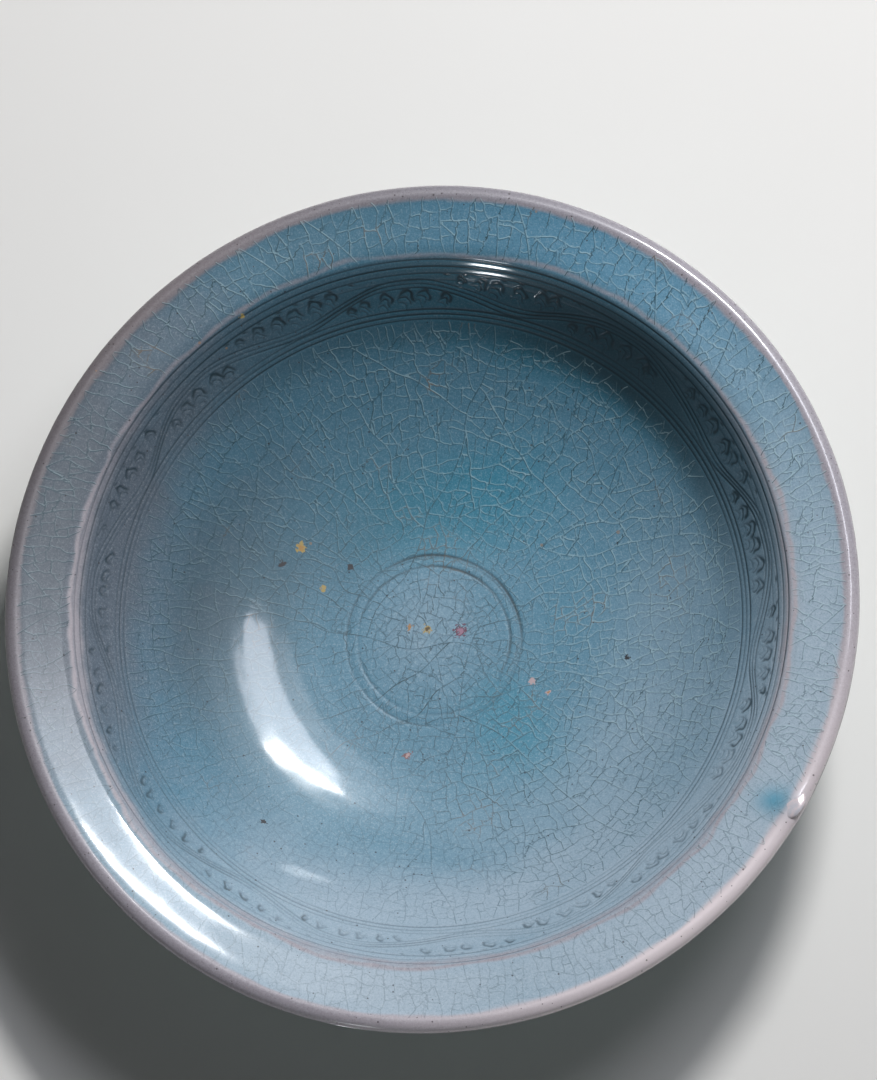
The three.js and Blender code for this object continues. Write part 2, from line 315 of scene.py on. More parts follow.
class Dish:
    """The section's formulas, in millimetres: radius outward and height up."""

    def __init__(self):
        self.form = settings("dish_form")
        self.coat = settings("dish_coat")
        form = self.form
        self.floor_height = form.rim_height - form.well_depth
        self.lip_centre = np.array((form.rim_radius - form.lip_roll, form.rim_height - form.lip_roll))
        self.shoulder_radius = self.lip_centre[0] - form.flange_width
        self.shoulder_height = form.rim_height - form.shoulder_drop
        self.glaze_line = form.foot_radius + form.bare_band

    def on_lip(self, turn):
        """A point of the lip's roll, turned up from its outermost point."""
        turn = np.asarray(turn, float)
        return self.lip_centre + self.form.lip_roll * np.stack((np.cos(turn), np.sin(turn)), -1)

    def well_height(self, radius):
        """The well's rise is a power of the radius: nearly flat in the middle, steep at the wall."""
        rise = self.shoulder_height - self.floor_height
        return self.floor_height + rise * (radius / self.shoulder_radius) ** self.form.well_power

    def well_slope(self, radius):
        """Slope of the well: its rise, differentiated by the radius."""
        power = self.form.well_power
        rise = (self.shoulder_height - self.floor_height) * power / self.shoulder_radius
        return rise * (radius / self.shoulder_radius) ** (power - 1)

    def wall_outside(self, radius):
        """The clay's outside lies a wall's thickness off the well, square to it."""
        slope = self.well_slope(radius)
        thickness = lerp(self.form.floor_thickness, self.form.wall_thickness, radius / self.shoulder_radius)
        thickness = thickness / np.hypot(1, slope)
        return np.stack((radius + thickness * slope, self.well_height(radius) - thickness), -1)

    def under_flange(self, count):
        """The curve that turns the wall out under the flange, from the lip back down to the wall."""
        wall_end = self.shoulder_radius - self.form.under_turn_in
        last = self.wall_outside(wall_end)
        height = self.shoulder_height - self.form.flange_thickness
        turn = (last[0] + (height - last[1]) / self.well_slope(wall_end), height)
        return bezier(self.on_lip(self.form.lip_under_turn), turn, last, count)

    def flange(self, count):
        """The flange rises from the shoulder out to the lip. Its slope grows as the square of the
        distance from its flattest place."""
        start = np.array((self.shoulder_radius + self.form.shoulder_round, self.shoulder_height))
        end = self.on_lip(self.form.lip_inner_turn)
        radius = np.linspace(start[0], end[0], count)
        hollow = self.form.flange_curl * (radius - self.form.flange_middle) ** 3 / 3
        share = (radius - start[0]) / (end[0] - start[0])
        height = lerp(start[1], end[1], share) + hollow - lerp(hollow[0], hollow[-1], share)
        return np.stack((radius, height), -1)

    def clay_parts(self):
        """The clay under the glaze, as stretches from the middle of the well out over the lip and
        down to the glaze line, each with the thickness of glaze on it."""
        coat, form = self.coat, self.form
        radii = np.linspace(0, self.shoulder_radius - form.shoulder_round / 2, WELL_STEPS)
        well_coat = lerp(coat.pool_coat, coat.coat, radii / self.shoulder_radius)
        turns = np.linspace(form.lip_inner_turn, form.lip_under_turn, LIP_STEPS)
        thick_places = (form.lip_under_turn, 0, form.lip_inner_turn * 0.65, form.lip_inner_turn)
        lip_thick = np.interp(turns, thick_places, (1, 0, 0, 1))
        wall = np.linspace(self.shoulder_radius - form.under_turn_in, self.glaze_line, WALL_STEPS)
        return [
            (np.stack((radii, self.well_height(radii)), -1), well_coat),
            (self.flange(FLANGE_STEPS), np.full(FLANGE_STEPS, coat.coat)),
            (self.on_lip(turns), lerp(coat.edge_coat, coat.coat, lip_thick)),
            (self.under_flange(FLANGE_STEPS), np.full(FLANGE_STEPS, coat.coat)),
            (self.wall_outside(wall), np.full(WALL_STEPS, coat.coat)),
        ]

    def thrown(self, radius, height, turn):
        """Takes the true round to the hand-thrown form: the rim goes oval and rises and falls a
        little, more the further out it is, and the well lies a little off the rim's middle. On
        the near left the shoulder sags and the lip lifts."""
        form = self.form
        share = radius / form.rim_radius
        out_of_round = form.oval * np.cos(2 * (turn - form.oval_turn)) * share ** 2
        lift = -form.rim_warp * np.cos(2 * turn) * share ** 4 * height / form.rim_height
        tip_places = (self.shoulder_radius - form.near_warp_in, self.shoulder_radius + 1, form.rim_radius - 4)
        tip = np.interp(radius, tip_places, (0, -form.near_warp, form.near_warp))
        lift = lift + tip * toward(turn, NEAR_WARP_TURN, NEAR_WARP_WIDTH)
        wide = radius * form.fit * (1 + out_of_round)
        off = (1 - share ** 2) * smooth_step(0, self.floor_height, height)
        return np.stack((wide * np.cos(turn) + off * form.off_centre_x,
                         wide * np.sin(turn) + off * form.off_centre_y, height + lift), -1)


class GlazedPath:
    """The glaze's surface in section, by distance along it from the middle of the well."""
    STEP = 0.1
    BLUR = 0.55

    def __init__(self, dish):
        parts = dish.clay_parts()
        clay = np.vstack([parts[0][0]] + [points[1:] for points, _ in parts[1:]])
        coat = np.concatenate([parts[0][1]] + [thick[1:] for _, thick in parts[1:]])
        ends = np.cumsum([len(parts[0][0])] + [len(points) - 1 for points, _ in parts[1:]]) - 1
        along = path_lengths(clay)
        way = np.gradient(clay, along, axis=0)
        out = np.stack((-way[:, 1], way[:, 0]), -1)
        out /= np.linalg.norm(out, axis=1)[:, None]
        glazed = clay + out * coat[:, None]

        # Even steps, mirrored over the axis at the start and run on straight at the end
        along = path_lengths(glazed)
        even = np.arange(0, along[-1], self.STEP)
        rows = np.column_stack([np.interp(even, along, values) for values in (*glazed.T, coat)])
        margin = blur_margin(self.BLUR / self.STEP)
        mirrored = rows[margin:0:-1] * (-1, 1, 1)
        run_on = rows[-1] + (rows[-1] - rows[-2]) * np.arange(1, margin + 1)[:, None]
        soft = blurred(np.vstack((mirrored, rows, run_on)), self.BLUR / self.STEP)
        self.distance = path_lengths(soft[:, :2])
        self.radius, self.height, self.coat = soft.T
        way = np.gradient(soft[:, :2], self.distance, axis=0)
        way /= np.linalg.norm(way, axis=1)[:, None]
        self.out_radius, self.out_height = -way[:, 1], way[:, 0]
        self.out_radius[0] = 0.0
        marks = np.interp(along[ends] / self.STEP, np.arange(len(soft)), self.distance)
        self.shoulder, self.lip_start, self.lip_under, self.wall_top, self.end = marks
        inner_turn, under_turn = dish.form.lip_inner_turn, dish.form.lip_under_turn
        self.lip_edge = lerp(self.lip_start, self.lip_under, inner_turn / (inner_turn - under_turn))
        self.well_rows = self.distance <= self.shoulder

    def at(self, distance):
        """Radius, height and way out of the surface; on the far side of the axis for distances
        below 0."""
        side = np.where(distance < 0, -1.0, 1.0)
        away = np.abs(distance)
        rows = (self.radius, self.height, self.out_radius, self.out_height)
        radius, height, out_radius, out_height = (np.interp(away, self.distance, row) for row in rows)
        return radius * side, height, out_radius * side, out_height

    def coat_at(self, distance):
        """Thickness of the glaze."""
        return np.interp(np.abs(distance), self.distance, self.coat)

    def in_well(self, radius):
        """Distance along the path at which the well reaches a radius."""
        return np.interp(radius, self.radius[self.well_rows], self.distance[self.well_rows])


# Crackle

# The way from which the crackle is lit, for its painted highlights and shadows
LIGHT_TURN = math.radians(63)
LIGHT_WAY = (math.cos(LIGHT_TURN), math.sin(LIGHT_TURN))

# Lengths in millimetres: of the shortest line that cuts a cell and the shortest crack drawn, and
# of the steps along each
SHORTEST_CUT = 0.8
CUT_STEP = 0.7
SHORTEST_CRACK = 0.6
CRACK_STEP = 0.2

# A cell is cut from this many times its wanted size on, with so many tries at a line. Some cracks
# fade out along their length, and the weakest are left out
CUT_LIMIT = 1.3
TRIES = 6
FADING_SHARE = 0.22
WEAKEST_FORCE = 0.04


class CrackMap:
    """A flat plan of the glaze with the crackle drawn on it. A place lies at its own turn round
    the axis, and as far from the middle as it is along the section. For each cell of the plan it
    holds how far the nearest crack is, on which side of it the cell lies, how strong the crack
    is and how squarely the crack faces the light."""
    CELL = 0.22

    def __init__(self, reach, cap):
        self.cap = cap
        self.count = int(2 * reach / self.CELL) + 4
        self.origin = -self.count * self.CELL / 2
        shape = self.count * self.count
        self.near = np.full(shape, cap, np.float32)
        self.side = np.full(shape, cap, np.float32)
        self.force = np.zeros(shape, np.float32)
        self.lit = np.zeros(shape, np.float32)

    def draw(self, points, ways, forces, squeeze):
        """Each crack is a row of close points. squeeze is the true size of a step round the axis
        as a share of its size on the plan. Every point marks the cells around it, and a cell
        keeps the nearest one. Sides are counted from the crack towards the light."""
        faces_light = ways[:, 0] * LIGHT_WAY[1] - ways[:, 1] * LIGHT_WAY[0]
        ways = ways * np.where(faces_light < 0, -1.0, 1.0)[:, None]
        lit = np.abs(faces_light)
        radial = points / np.maximum(np.linalg.norm(points, axis=1), 1e-6)[:, None]
        way_in = (ways * radial).sum(1)
        way_round = (ways[:, 1] * radial[:, 0] - ways[:, 0] * radial[:, 1]) * squeeze
        size = np.hypot(way_in, way_round)
        way_in, way_round = way_in / size, way_round / size
        home = np.floor((points - self.origin) / self.CELL).astype(np.int64)
        reach = int(math.ceil(self.cap / self.CELL))
        for row in range(-reach, reach + 1):
            for column in range(-reach, reach + 1):
                cell = home + (column, row)
                off = (cell + 0.5) * self.CELL + self.origin - points
                off_in = (off * radial).sum(1)
                off_round = (off[:, 1] * radial[:, 0] - off[:, 0] * radial[:, 1]) * squeeze
                far = np.hypot(off_in, off_round)
                index = cell[:, 1] * self.count + cell[:, 0]
                inside = (cell >= 0).all(1) & (cell < self.count).all(1)
                index[~inside] = 0
                closer = inside & (far < self.near[index])
                order = np.flatnonzero(closer)
                order = order[np.argsort(-far[order], kind="stable")]
                at = index[order]
                self.near[at] = far[order]
                self.side[at] = (way_in * off_round - way_round * off_in)[order]
                self.force[at] = forces[order]
                self.lit[at] = lit[order]

    def read(self, x, y):
        """Distance, side, strength and share of light at places on the plan, blended between cells."""
        across = np.clip((x - self.origin) / self.CELL - 0.5, 0, self.count - 2.001)
        along = np.clip((y - self.origin) / self.CELL - 0.5, 0, self.count - 2.001)
        column, row = across.astype(np.int64), along.astype(np.int64)
        share_x, share_y = across - column, along - row
        found = []
        for field in (self.near, self.side, self.force, self.lit):
            corners = [field[(row + up) * self.count + column + over] for up in (0, 1) for over in (0, 1)]
            found.append(blend(corners, share_x, share_y))
        return found


def split_outline(outline, point, way, rng, bow):
    """Cuts an outline in two by a wandering line through a point. Returns the line and the two
    halves, or None where the line doesn't cross the outline on both sides of the point."""
    normal = np.array((-way[1], way[0]))
    after = np.roll(outline, -1, axis=0)
    height, next_height = (outline - point) @ normal, (after - point) @ normal
    crossing = np.flatnonzero((height < 0) != (next_height < 0))
    if len(crossing) < 2:
        return None
    share = height[crossing] / (height[crossing] - next_height[crossing])
    places = outline[crossing] + (after - outline)[crossing] * share[:, None]
    along = (places - point) @ way
    if along.max() <= 0 or along.min() >= 0:
        return None
    first = np.where(along < 0, along, -np.inf).argmax()
    last = np.where(along > 0, along, np.inf).argmin()
    start, end = places[first], places[last]
    span = np.linalg.norm(end - start)
    if span < SHORTEST_CUT:
        return None
    t = np.linspace(0, 1, max(4, int(span / CUT_STEP)))
    sway = np.sin(math.pi * t) * rng.normal(0, bow) + np.sin(WHOLE_TURN * t) * rng.normal(0, bow * 0.6)
    for waves_along in (3, 4, 6, 9, 13):
        sway = sway + np.sin(waves_along * math.pi * t) * rng.normal(0, bow * 0.9 / waves_along)
    line = lerp(start, end, t[:, None]) + normal * (sway * span)[:, None]
    i, j = crossing[first], crossing[last]
    if i < j:
        one = np.vstack((outline[i + 1:j + 1], line[::-1]))
        other = np.vstack((outline[j + 1:], outline[:i + 1], line))
    else:
        one = np.vstack((outline[i + 1:], outline[:j + 1], line[::-1]))
        other = np.vstack((outline[j + 1:i + 1], line))
    return line, one, other


def grow_cracks(outlines, wanted, rng):
    """The glaze cracks in turn: a cell that is longer or wider than wanted is cut in two by a
    wandering line across it, and so are its halves. So a crack ends square on an older one, and
    the later ones are finer."""
    cracks = []
    waiting = [(outline, 0) for outline in outlines]
    while waiting:
        outline, age = waiting.pop()
        if len(outline) < 4:
            continue
        gaps = np.linalg.norm(np.roll(outline, -1, axis=0) - outline, axis=1)
        weights = gaps + np.roll(gaps, 1)
        centre = (outline * weights[:, None]).sum(0) / weights.sum()
        length_in, length_round, lean, weight = wanted(centre)
        turn = math.atan2(centre[1], centre[0]) + lean + rng.normal(0, 0.2)
        inward = np.array((math.cos(turn), math.sin(turn)))
        around = np.array((-inward[1], inward[0]))
        spread_in = np.ptp(outline @ inward) / (length_in * rng.lognormal(0, 0.2))
        spread_round = np.ptp(outline @ around) / (length_round * rng.lognormal(0, 0.2))
        if max(spread_in, spread_round) < CUT_LIMIT:
            continue
        way, across = (around, inward) if spread_in > spread_round else (inward, around)
        for _ in range(TRIES):
            tilt = rng.normal(0, 0.16)
            lean_way = way * math.cos(tilt) + across * math.sin(tilt)
            point = centre + across * np.ptp(outline @ across) * rng.uniform(-0.13, 0.13)
            cut = split_outline(outline, point, lean_way, rng, 0.05)
            if cut is not None:
                break
        if cut is None:
            continue
        line, one, other = cut
        force = np.clip(1.08 - 0.025 * age + rng.normal(0, 0.16), 0.35, 1.1) * weight
        fading = rng.uniform() < FADING_SHARE
        cracks.append((line, force, fading))
        waiting.append((one, age + 1))
        waiting.append((other, age + 1))
    return cracks


def draw_cracks(crack_map, cracks, squeeze, fade_round, rng):
    """Puts the cracks on the map as close points, their strength waxing and waning along them."""
    points, ways, forces = [], [], []
    for line, force, fading in cracks:
        along = path_lengths(line)
        if along[-1] < SHORTEST_CRACK:
            continue
        even = np.linspace(0, along[-1], max(3, int(along[-1] / CRACK_STEP)))
        dense = np.column_stack([np.interp(even, along, line[:, k]) for k in (0, 1)])
        way = np.gradient(dense, axis=0)
        way /= np.maximum(np.linalg.norm(way, axis=1), 1e-9)[:, None]
        share = even / along[-1]
        strength = force * (1 + 0.25 * np.sin(even / rng.uniform(1.5, 4) + rng.uniform(0, 6)))
        if fading:
            strength = strength * smooth_step(0, rng.uniform(0.4, 0.95), share)
        points.append(dense)
        ways.append(way)
        forces.append(strength)
    points = np.vstack(points)
    forces = np.concatenate(forces) * fade_round(points)
    kept = forces > WEAKEST_FORCE
    plan = np.linalg.norm(points, axis=1)
    crack_map.draw(points[kept], np.vstack(ways)[kept], forces[kept], squeeze(plan)[kept])


def ring_outlines(inner, outer, count, rng, lean):
    """A ring of glaze, parted all round by slanting cracks that run across it. Returns the
    outlines of its cells and those cracks."""
    turns = (np.arange(count) + rng.uniform(-0.28, 0.28, count)) * WHOLE_TURN / count
    cracks, edges = [], []
    steps = np.linspace(0, 1, 24)
    for turn in turns:
        slant = lean * rng.uniform(0.3, 1.4) / outer
        sway = 0.9 * np.sin(steps * math.pi * rng.uniform(0.8, 2)) * rng.normal(0, 1) / outer
        at = turn + slant * (outer - inner) * (steps - 0.5) + sway
        reach = lerp(inner, outer, steps)
        edges.append((at, reach))
        cracks.append((np.column_stack((reach * np.cos(at), reach * np.sin(at))), 1.0, False))
    outlines = []
    for k, (at, reach) in enumerate(edges):
        next_at, next_reach = edges[(k + 1) % count]
        if next_at[0] < at[0]:
            next_at = next_at + WHOLE_TURN
        arc = np.linspace(0, 1, 40)[1:-1]
        far = lerp(at[-1], next_at[-1], arc)
        near = lerp(next_at[0], at[0], arc)
        turn = np.concatenate((at, far, next_at[::-1], near))
        size = np.concatenate((reach, np.full(len(far), outer), next_reach[::-1], np.full(len(near), inner)))
        outlines.append(np.column_stack((size * np.cos(turn), size * np.sin(turn))))
    return outlines, cracks


# Carved band

def tilted(across, up, tilt):
    """Distances across and up, turned by a tilt."""
    right = across * math.cos(tilt) + up * math.sin(tilt)
    return right, up * math.cos(tilt) - across * math.sin(tilt)


class CarvedBand:
    """Depth of the comb's marks on the wall between the two sets of rings, laid out as a sheet:
    rows go up the wall and columns go round it. Turns are in degrees and heights are shares of
    the band. Dabs and dashes stand at steps of so many degrees from a crest or a trough."""
    ROW = 0.15
    COLUMNS = 4800
    CLOUD = 0.75
    MARGIN = 4
    CREST_TURNS = (13, 56, 96, 137, 177, 218, 256, 295, 338)
    TROUGH_TURNS = (30, 75, 114, 154, 193, 237, 276, 313, 352)
    KNOT_OFFSETS = (-5, 3.5, -2.5, 2.5)
    CORNER_SPREAD = 5
    CREST_DABS = (-8.2, -5.0, -1.6, 1.8, 5.2, 8.4)
    TROUGH_DABS = (-6.6, -3.2, 0.2, 3.6, 7.0, 10.4)
    TROUGH_DASHES = np.arange(-10.5, 15, 3.3)
    DASH_HEIGHT = 0.95
    DAB_CEILING = 0.94
    DAB_MARGIN = 0.12
    DAB_ROOM = 0.52

    def __init__(self, dish, path):
        coat = dish.coat
        lower = dish.shoulder_radius - coat.lower_rings_in
        upper = dish.shoulder_radius - coat.upper_rings_in - 2 * coat.upper_pitch
        self.bottom, self.top = path.in_well(lower), path.in_well(upper)
        self.low = self.bottom - self.MARGIN
        self.rows = int((self.top + self.MARGIN - self.low) / self.ROW)
        self.degree = WHOLE_TURN * (lower + upper) / 2 / 360
        self.depth = np.zeros((self.rows, self.COLUMNS))
        self.up = self.low + np.arange(self.rows) * self.ROW
        self.turn = np.arange(self.COLUMNS) * 360 / self.COLUMNS
        rng = np.random.default_rng(23)
        self.crests = np.array(self.CREST_TURNS, float)
        self.troughs = np.array(self.TROUGH_TURNS, float)
        self.crest_heights = rng.uniform(0.72, 0.84, len(self.crests))
        self.trough_heights = rng.uniform(0.1, 0.22, len(self.troughs))
        self.cut_wave(coat)
        self.cut_dabs(rng)
        self.ink = self.pooled()

    def wave(self, turn):
        """Height of the wave's middle line as a share of the band: a broad crest, a steep fall, a
        short trough and a long gentle rise, nine times round."""
        knots = np.stack((self.crests, self.crests, self.troughs, self.troughs), 1) + self.KNOT_OFFSETS
        heights = np.stack((self.crest_heights, self.crest_heights - 0.04,
                            self.trough_heights, self.trough_heights), 1)
        knots, heights = knots.ravel(), heights.ravel()
        order = np.argsort(knots % 360)
        return np.interp(turn % 360, (knots % 360)[order], heights[order], period=360)

    def soft_wave(self, turn):
        """The wave with its corners rounded, as the mean of the line over a few degrees."""
        spread = np.linspace(-self.CORNER_SPREAD, self.CORNER_SPREAD, 11)
        weights = bell(spread, 2.6)
        lines = [weight * self.wave(turn + shift) for weight, shift in zip(weights, spread)]
        return np.sum(lines, axis=0) / weights.sum()

    def cut_wave(self, coat):
        """The comb is held slanting, so its three lines are the same line shifted up and back:
        they close up on the fall and open out on the rise."""
        span = self.top - self.bottom
        for tooth in (-1, 0, 1):
            back = tooth * coat.comb_pitch * 0.25 / self.degree
            up = tooth * coat.comb_pitch * 0.72
            line = self.bottom + span * self.soft_wave(self.turn + back) + up
            line = line + 0.12 * np.sin(np.radians(self.turn) * 23 + tooth)
            slope = np.gradient(line, 360 / self.COLUMNS * self.degree)
            gap = np.abs(self.up[:, None] - line[None, :]) * np.cos(np.arctan(slope))
            fall = smooth_step(-0.05, -0.3, slope)
            press = 0.8 * (1 + 0.2 * np.sin(np.radians(self.turn) * 11 + 2 * tooth)) + 0.2 * fall
            self.lay(slice(None), slice(None), press * bell(gap, 0.31 + 0.03 * fall))

    def window(self, turn, height, half_round, half_up):
        """Rows and columns around a place, with their distances from it in millimetres."""
        middle = self.bottom + (self.top - self.bottom) * height
        row = int((middle - self.low) / self.ROW)
        reach = int(half_up / self.ROW)
        rows = np.arange(max(row - reach, 0), min(row + reach, self.rows))
        column = int(turn / 360 * self.COLUMNS)
        reach = int(half_round / self.degree / 360 * self.COLUMNS)
        columns = np.arange(column - reach, column + reach)
        across = (columns * 360 / self.COLUMNS - turn) * self.degree
        return np.ix_(rows, columns % self.COLUMNS), across[None, :], (self.up[rows] - middle)[:, None]

    def cut_dab(self, turn, height, size, rng):
        """A rocked comb leaves nested arches: a strong stroke up from the lower left that hooks
        over to the right, and weaker ones inside it."""
        place, across, up = self.window(turn, height, 5.5, 6.5)
        blot = float(toward(math.radians(turn), 225, 95))
        size = size * (1 - 0.25 * blot)
        across = across + 0.3 * np.sin(1.5 * up + rng.uniform(0, 6))
        up = up + 0.25 * np.sin(1.7 * across + rng.uniform(0, 6))
        right, up = tilted(across, up, rng.normal(0.0, 0.2))
        for tooth in range(3):
            wide = (2.3 - 0.3 * tooth - 0.5 * blot) * size
            tall = (3.6 - 0.6 * tooth) * size
            x = (right - (0.7 * tooth) * size) / wide
            y = (up + (0.6 + 1.5 * tooth) * size) / tall
            arch = np.degrees(np.arctan2(y, x))
            arch = np.where(arch < -90, arch + 360, arch)
            thick = wide * np.abs(np.cos(np.radians(arch))) + tall * np.abs(np.sin(np.radians(arch)))
            gap = np.abs(np.hypot(x, y) - 1) * thick
            stroke = plateau(-15, 70, 165, 205, arch)
            press = (1.1 - 0.24 * tooth * (1 + blot)) * rng.uniform(0.75, 1.15)
            self.lay(*place, press * stroke * bell(gap, (0.74 + 0.3 * blot, 0.42, 0.34)[tooth]))

    def cut_dash(self, turn, height, size, rng):
        """A short slanting stroke."""
        place, across, up = self.window(turn, height, 3.5, 2.5)
        right, up = tilted(across, up, rng.normal(0.25, 0.15))
        self.lay(*place, size * bell(right, 1.25 * size) * bell(up, 0.5))

    def lay(self, rows, columns, depth):
        """A new mark keeps the deeper of the old depth and its own."""
        self.depth[rows, columns] = np.maximum(self.depth[rows, columns], depth)

    def cut_dabs(self, rng):
        """Rows of dabs under the crests and over the troughs, as large as the room between the
        wave and the rings lets them be, and dashes under the upper rings."""
        for crest in self.crests:
            for step in self.CREST_DABS:
                turn = crest + step + rng.normal(0, 0.3)
                room = float(self.soft_wave(turn)) - self.DAB_MARGIN
                if room > 0.34:
                    size = min(1.15, room / self.DAB_ROOM) * rng.uniform(0.9, 1.08)
                    self.cut_dab(turn, room * 0.52, size, rng)
        for trough in self.troughs:
            for step in self.TROUGH_DABS:
                turn = trough + step + rng.normal(0, 0.3)
                floor = float(self.soft_wave(turn)) + self.DAB_MARGIN
                room = self.DAB_CEILING - floor
                if room > 0.32:
                    size = min(1.12, room / self.DAB_ROOM) * rng.uniform(0.88, 1.05)
                    self.cut_dab(turn, floor + room * 0.5, size, rng)
            for step in self.TROUGH_DASHES:
                turn = trough + step + rng.normal(0, 0.3)
                if float(self.soft_wave(turn)) < 0.68:
                    self.cut_dash(turn, self.DASH_HEIGHT, rng.uniform(0.7, 1.05), rng)

    def pooled(self):
        """The dark of the glaze in the cuts: sharp in them, with a soft cloud of it all round."""
        sigma = self.CLOUD / self.ROW
        margin = blur_margin(sigma)
        cloud = blurred(np.pad(self.depth, ((margin, margin), (0, 0))), sigma)
        sigma = self.CLOUD / (self.degree * 360 / self.COLUMNS)
        margin = blur_margin(sigma)
        cloud = blurred(np.pad(cloud.T, ((margin, margin), (0, 0)), "wrap"), sigma)
        return 0.85 * self.depth + 0.5 * cloud.T

    def read(self, distance, turn):
        """Depth and ink at places on the wall, blended between the sheet's rows and columns."""
        height = (distance - self.low) / self.ROW
        inside = (height > 0) & (height < self.rows - 2)
        height = np.clip(height, 0, self.rows - 2.001)
        across = np.degrees(turn) % 360 / 360 * self.COLUMNS
        row, column = height.astype(np.int64), across.astype(np.int64)
        share_up, share_across = height - row, across - column
        column, beside = column % self.COLUMNS, (column + 1) % self.COLUMNS
        found = []
        for sheet in (self.depth, self.ink):
            corners = [sheet[row + up, over] for up in (0, 1) for over in (column, beside)]
            found.append(blend(corners, share_across, share_up) * inside)
        return found


# Glaze surfaces

# The clear pool beside the kiln lump, and the teal pools in the well as strengths and patches, in
# millimetres
POOL_TURN = math.radians(-31)
POOL_RADIUS = 139.4
POOL_REACH = 5.0
TEAL_POOLS = (
    (0.9, (16, 50, 22, 1.5, 0.3)), (0.95, (28, -30, 15, 1.8, -0.9)), (0.55, (-22, 40, 26)),
    (0.3, (48, 12, 20)), (0.25, (10, -58, 20, 1.4)),
)
TINTS = ("cut", "thin", "lip", "teal", "grey", "blue", "pale", "shade", "brown", "cream", "pool", "matte")
CRACK_MARKS = ("crack_near", "crack_side", "crack_force", "crack_lit")


def patch(x, y, centre_x, centre_y, reach, stretch=1.0, turn=0.0):
    """A soft-edged patch on the plan, 1 in its middle; stretch makes it longer one way."""
    across = (x - centre_x) * math.cos(turn) + (y - centre_y) * math.sin(turn)
    along = (y - centre_y) * math.cos(turn) - (x - centre_x) * math.sin(turn)
    return np.exp(-((across / (reach * stretch)) ** 2 + (along / reach) ** 2))


def toward(turn, degrees, width):
    """1 in one direction round the dish, fading to 0 at width degrees from it. Directions are
    counted from the right of the photograph, by way of its far side."""
    gap = np.abs((np.degrees(turn) - degrees + 180) % 360 - 180)
    return 1 - smooth_step(0, width, gap)


def patch_toward(x, y, turn, radius, reach, stretch, lean=0.0):
    """A soft patch at a turn and a distance from the axis, stretched in that direction."""
    return patch(x, y, radius * math.cos(turn), radius * math.sin(turn), reach, stretch, turn + lean)


def lump_swell(dish, x, y):
    """The lip's glaze swells up round the kiln lump, as a soft patch longer round the lip."""
    coat = dish.coat
    return coat.lump_swell * patch_toward(x, y, dish.form.lump_turn, coat.swell_radius, coat.swell_reach, 0.5)


class Glaze:
    """What both coats of glaze share: the section that they lie on and the ridges of their cracks."""

    def __init__(self, dish, path):
        self.dish, self.path = dish, path

    def raised(self, distance, turn, off):
        """Places that stand so far off the smooth section, square to it."""
        radius, height, out_radius, out_height = self.path.at(distance)
        return self.dish.thrown(radius + out_radius * off, height + out_height * off, turn)

    def ridge(self, near, force):
        """The glaze stands up along a crack, as a bell over the distance from it."""
        coat = self.dish.coat
        return coat.crack_ridge * force * bell(near, coat.crack_width)


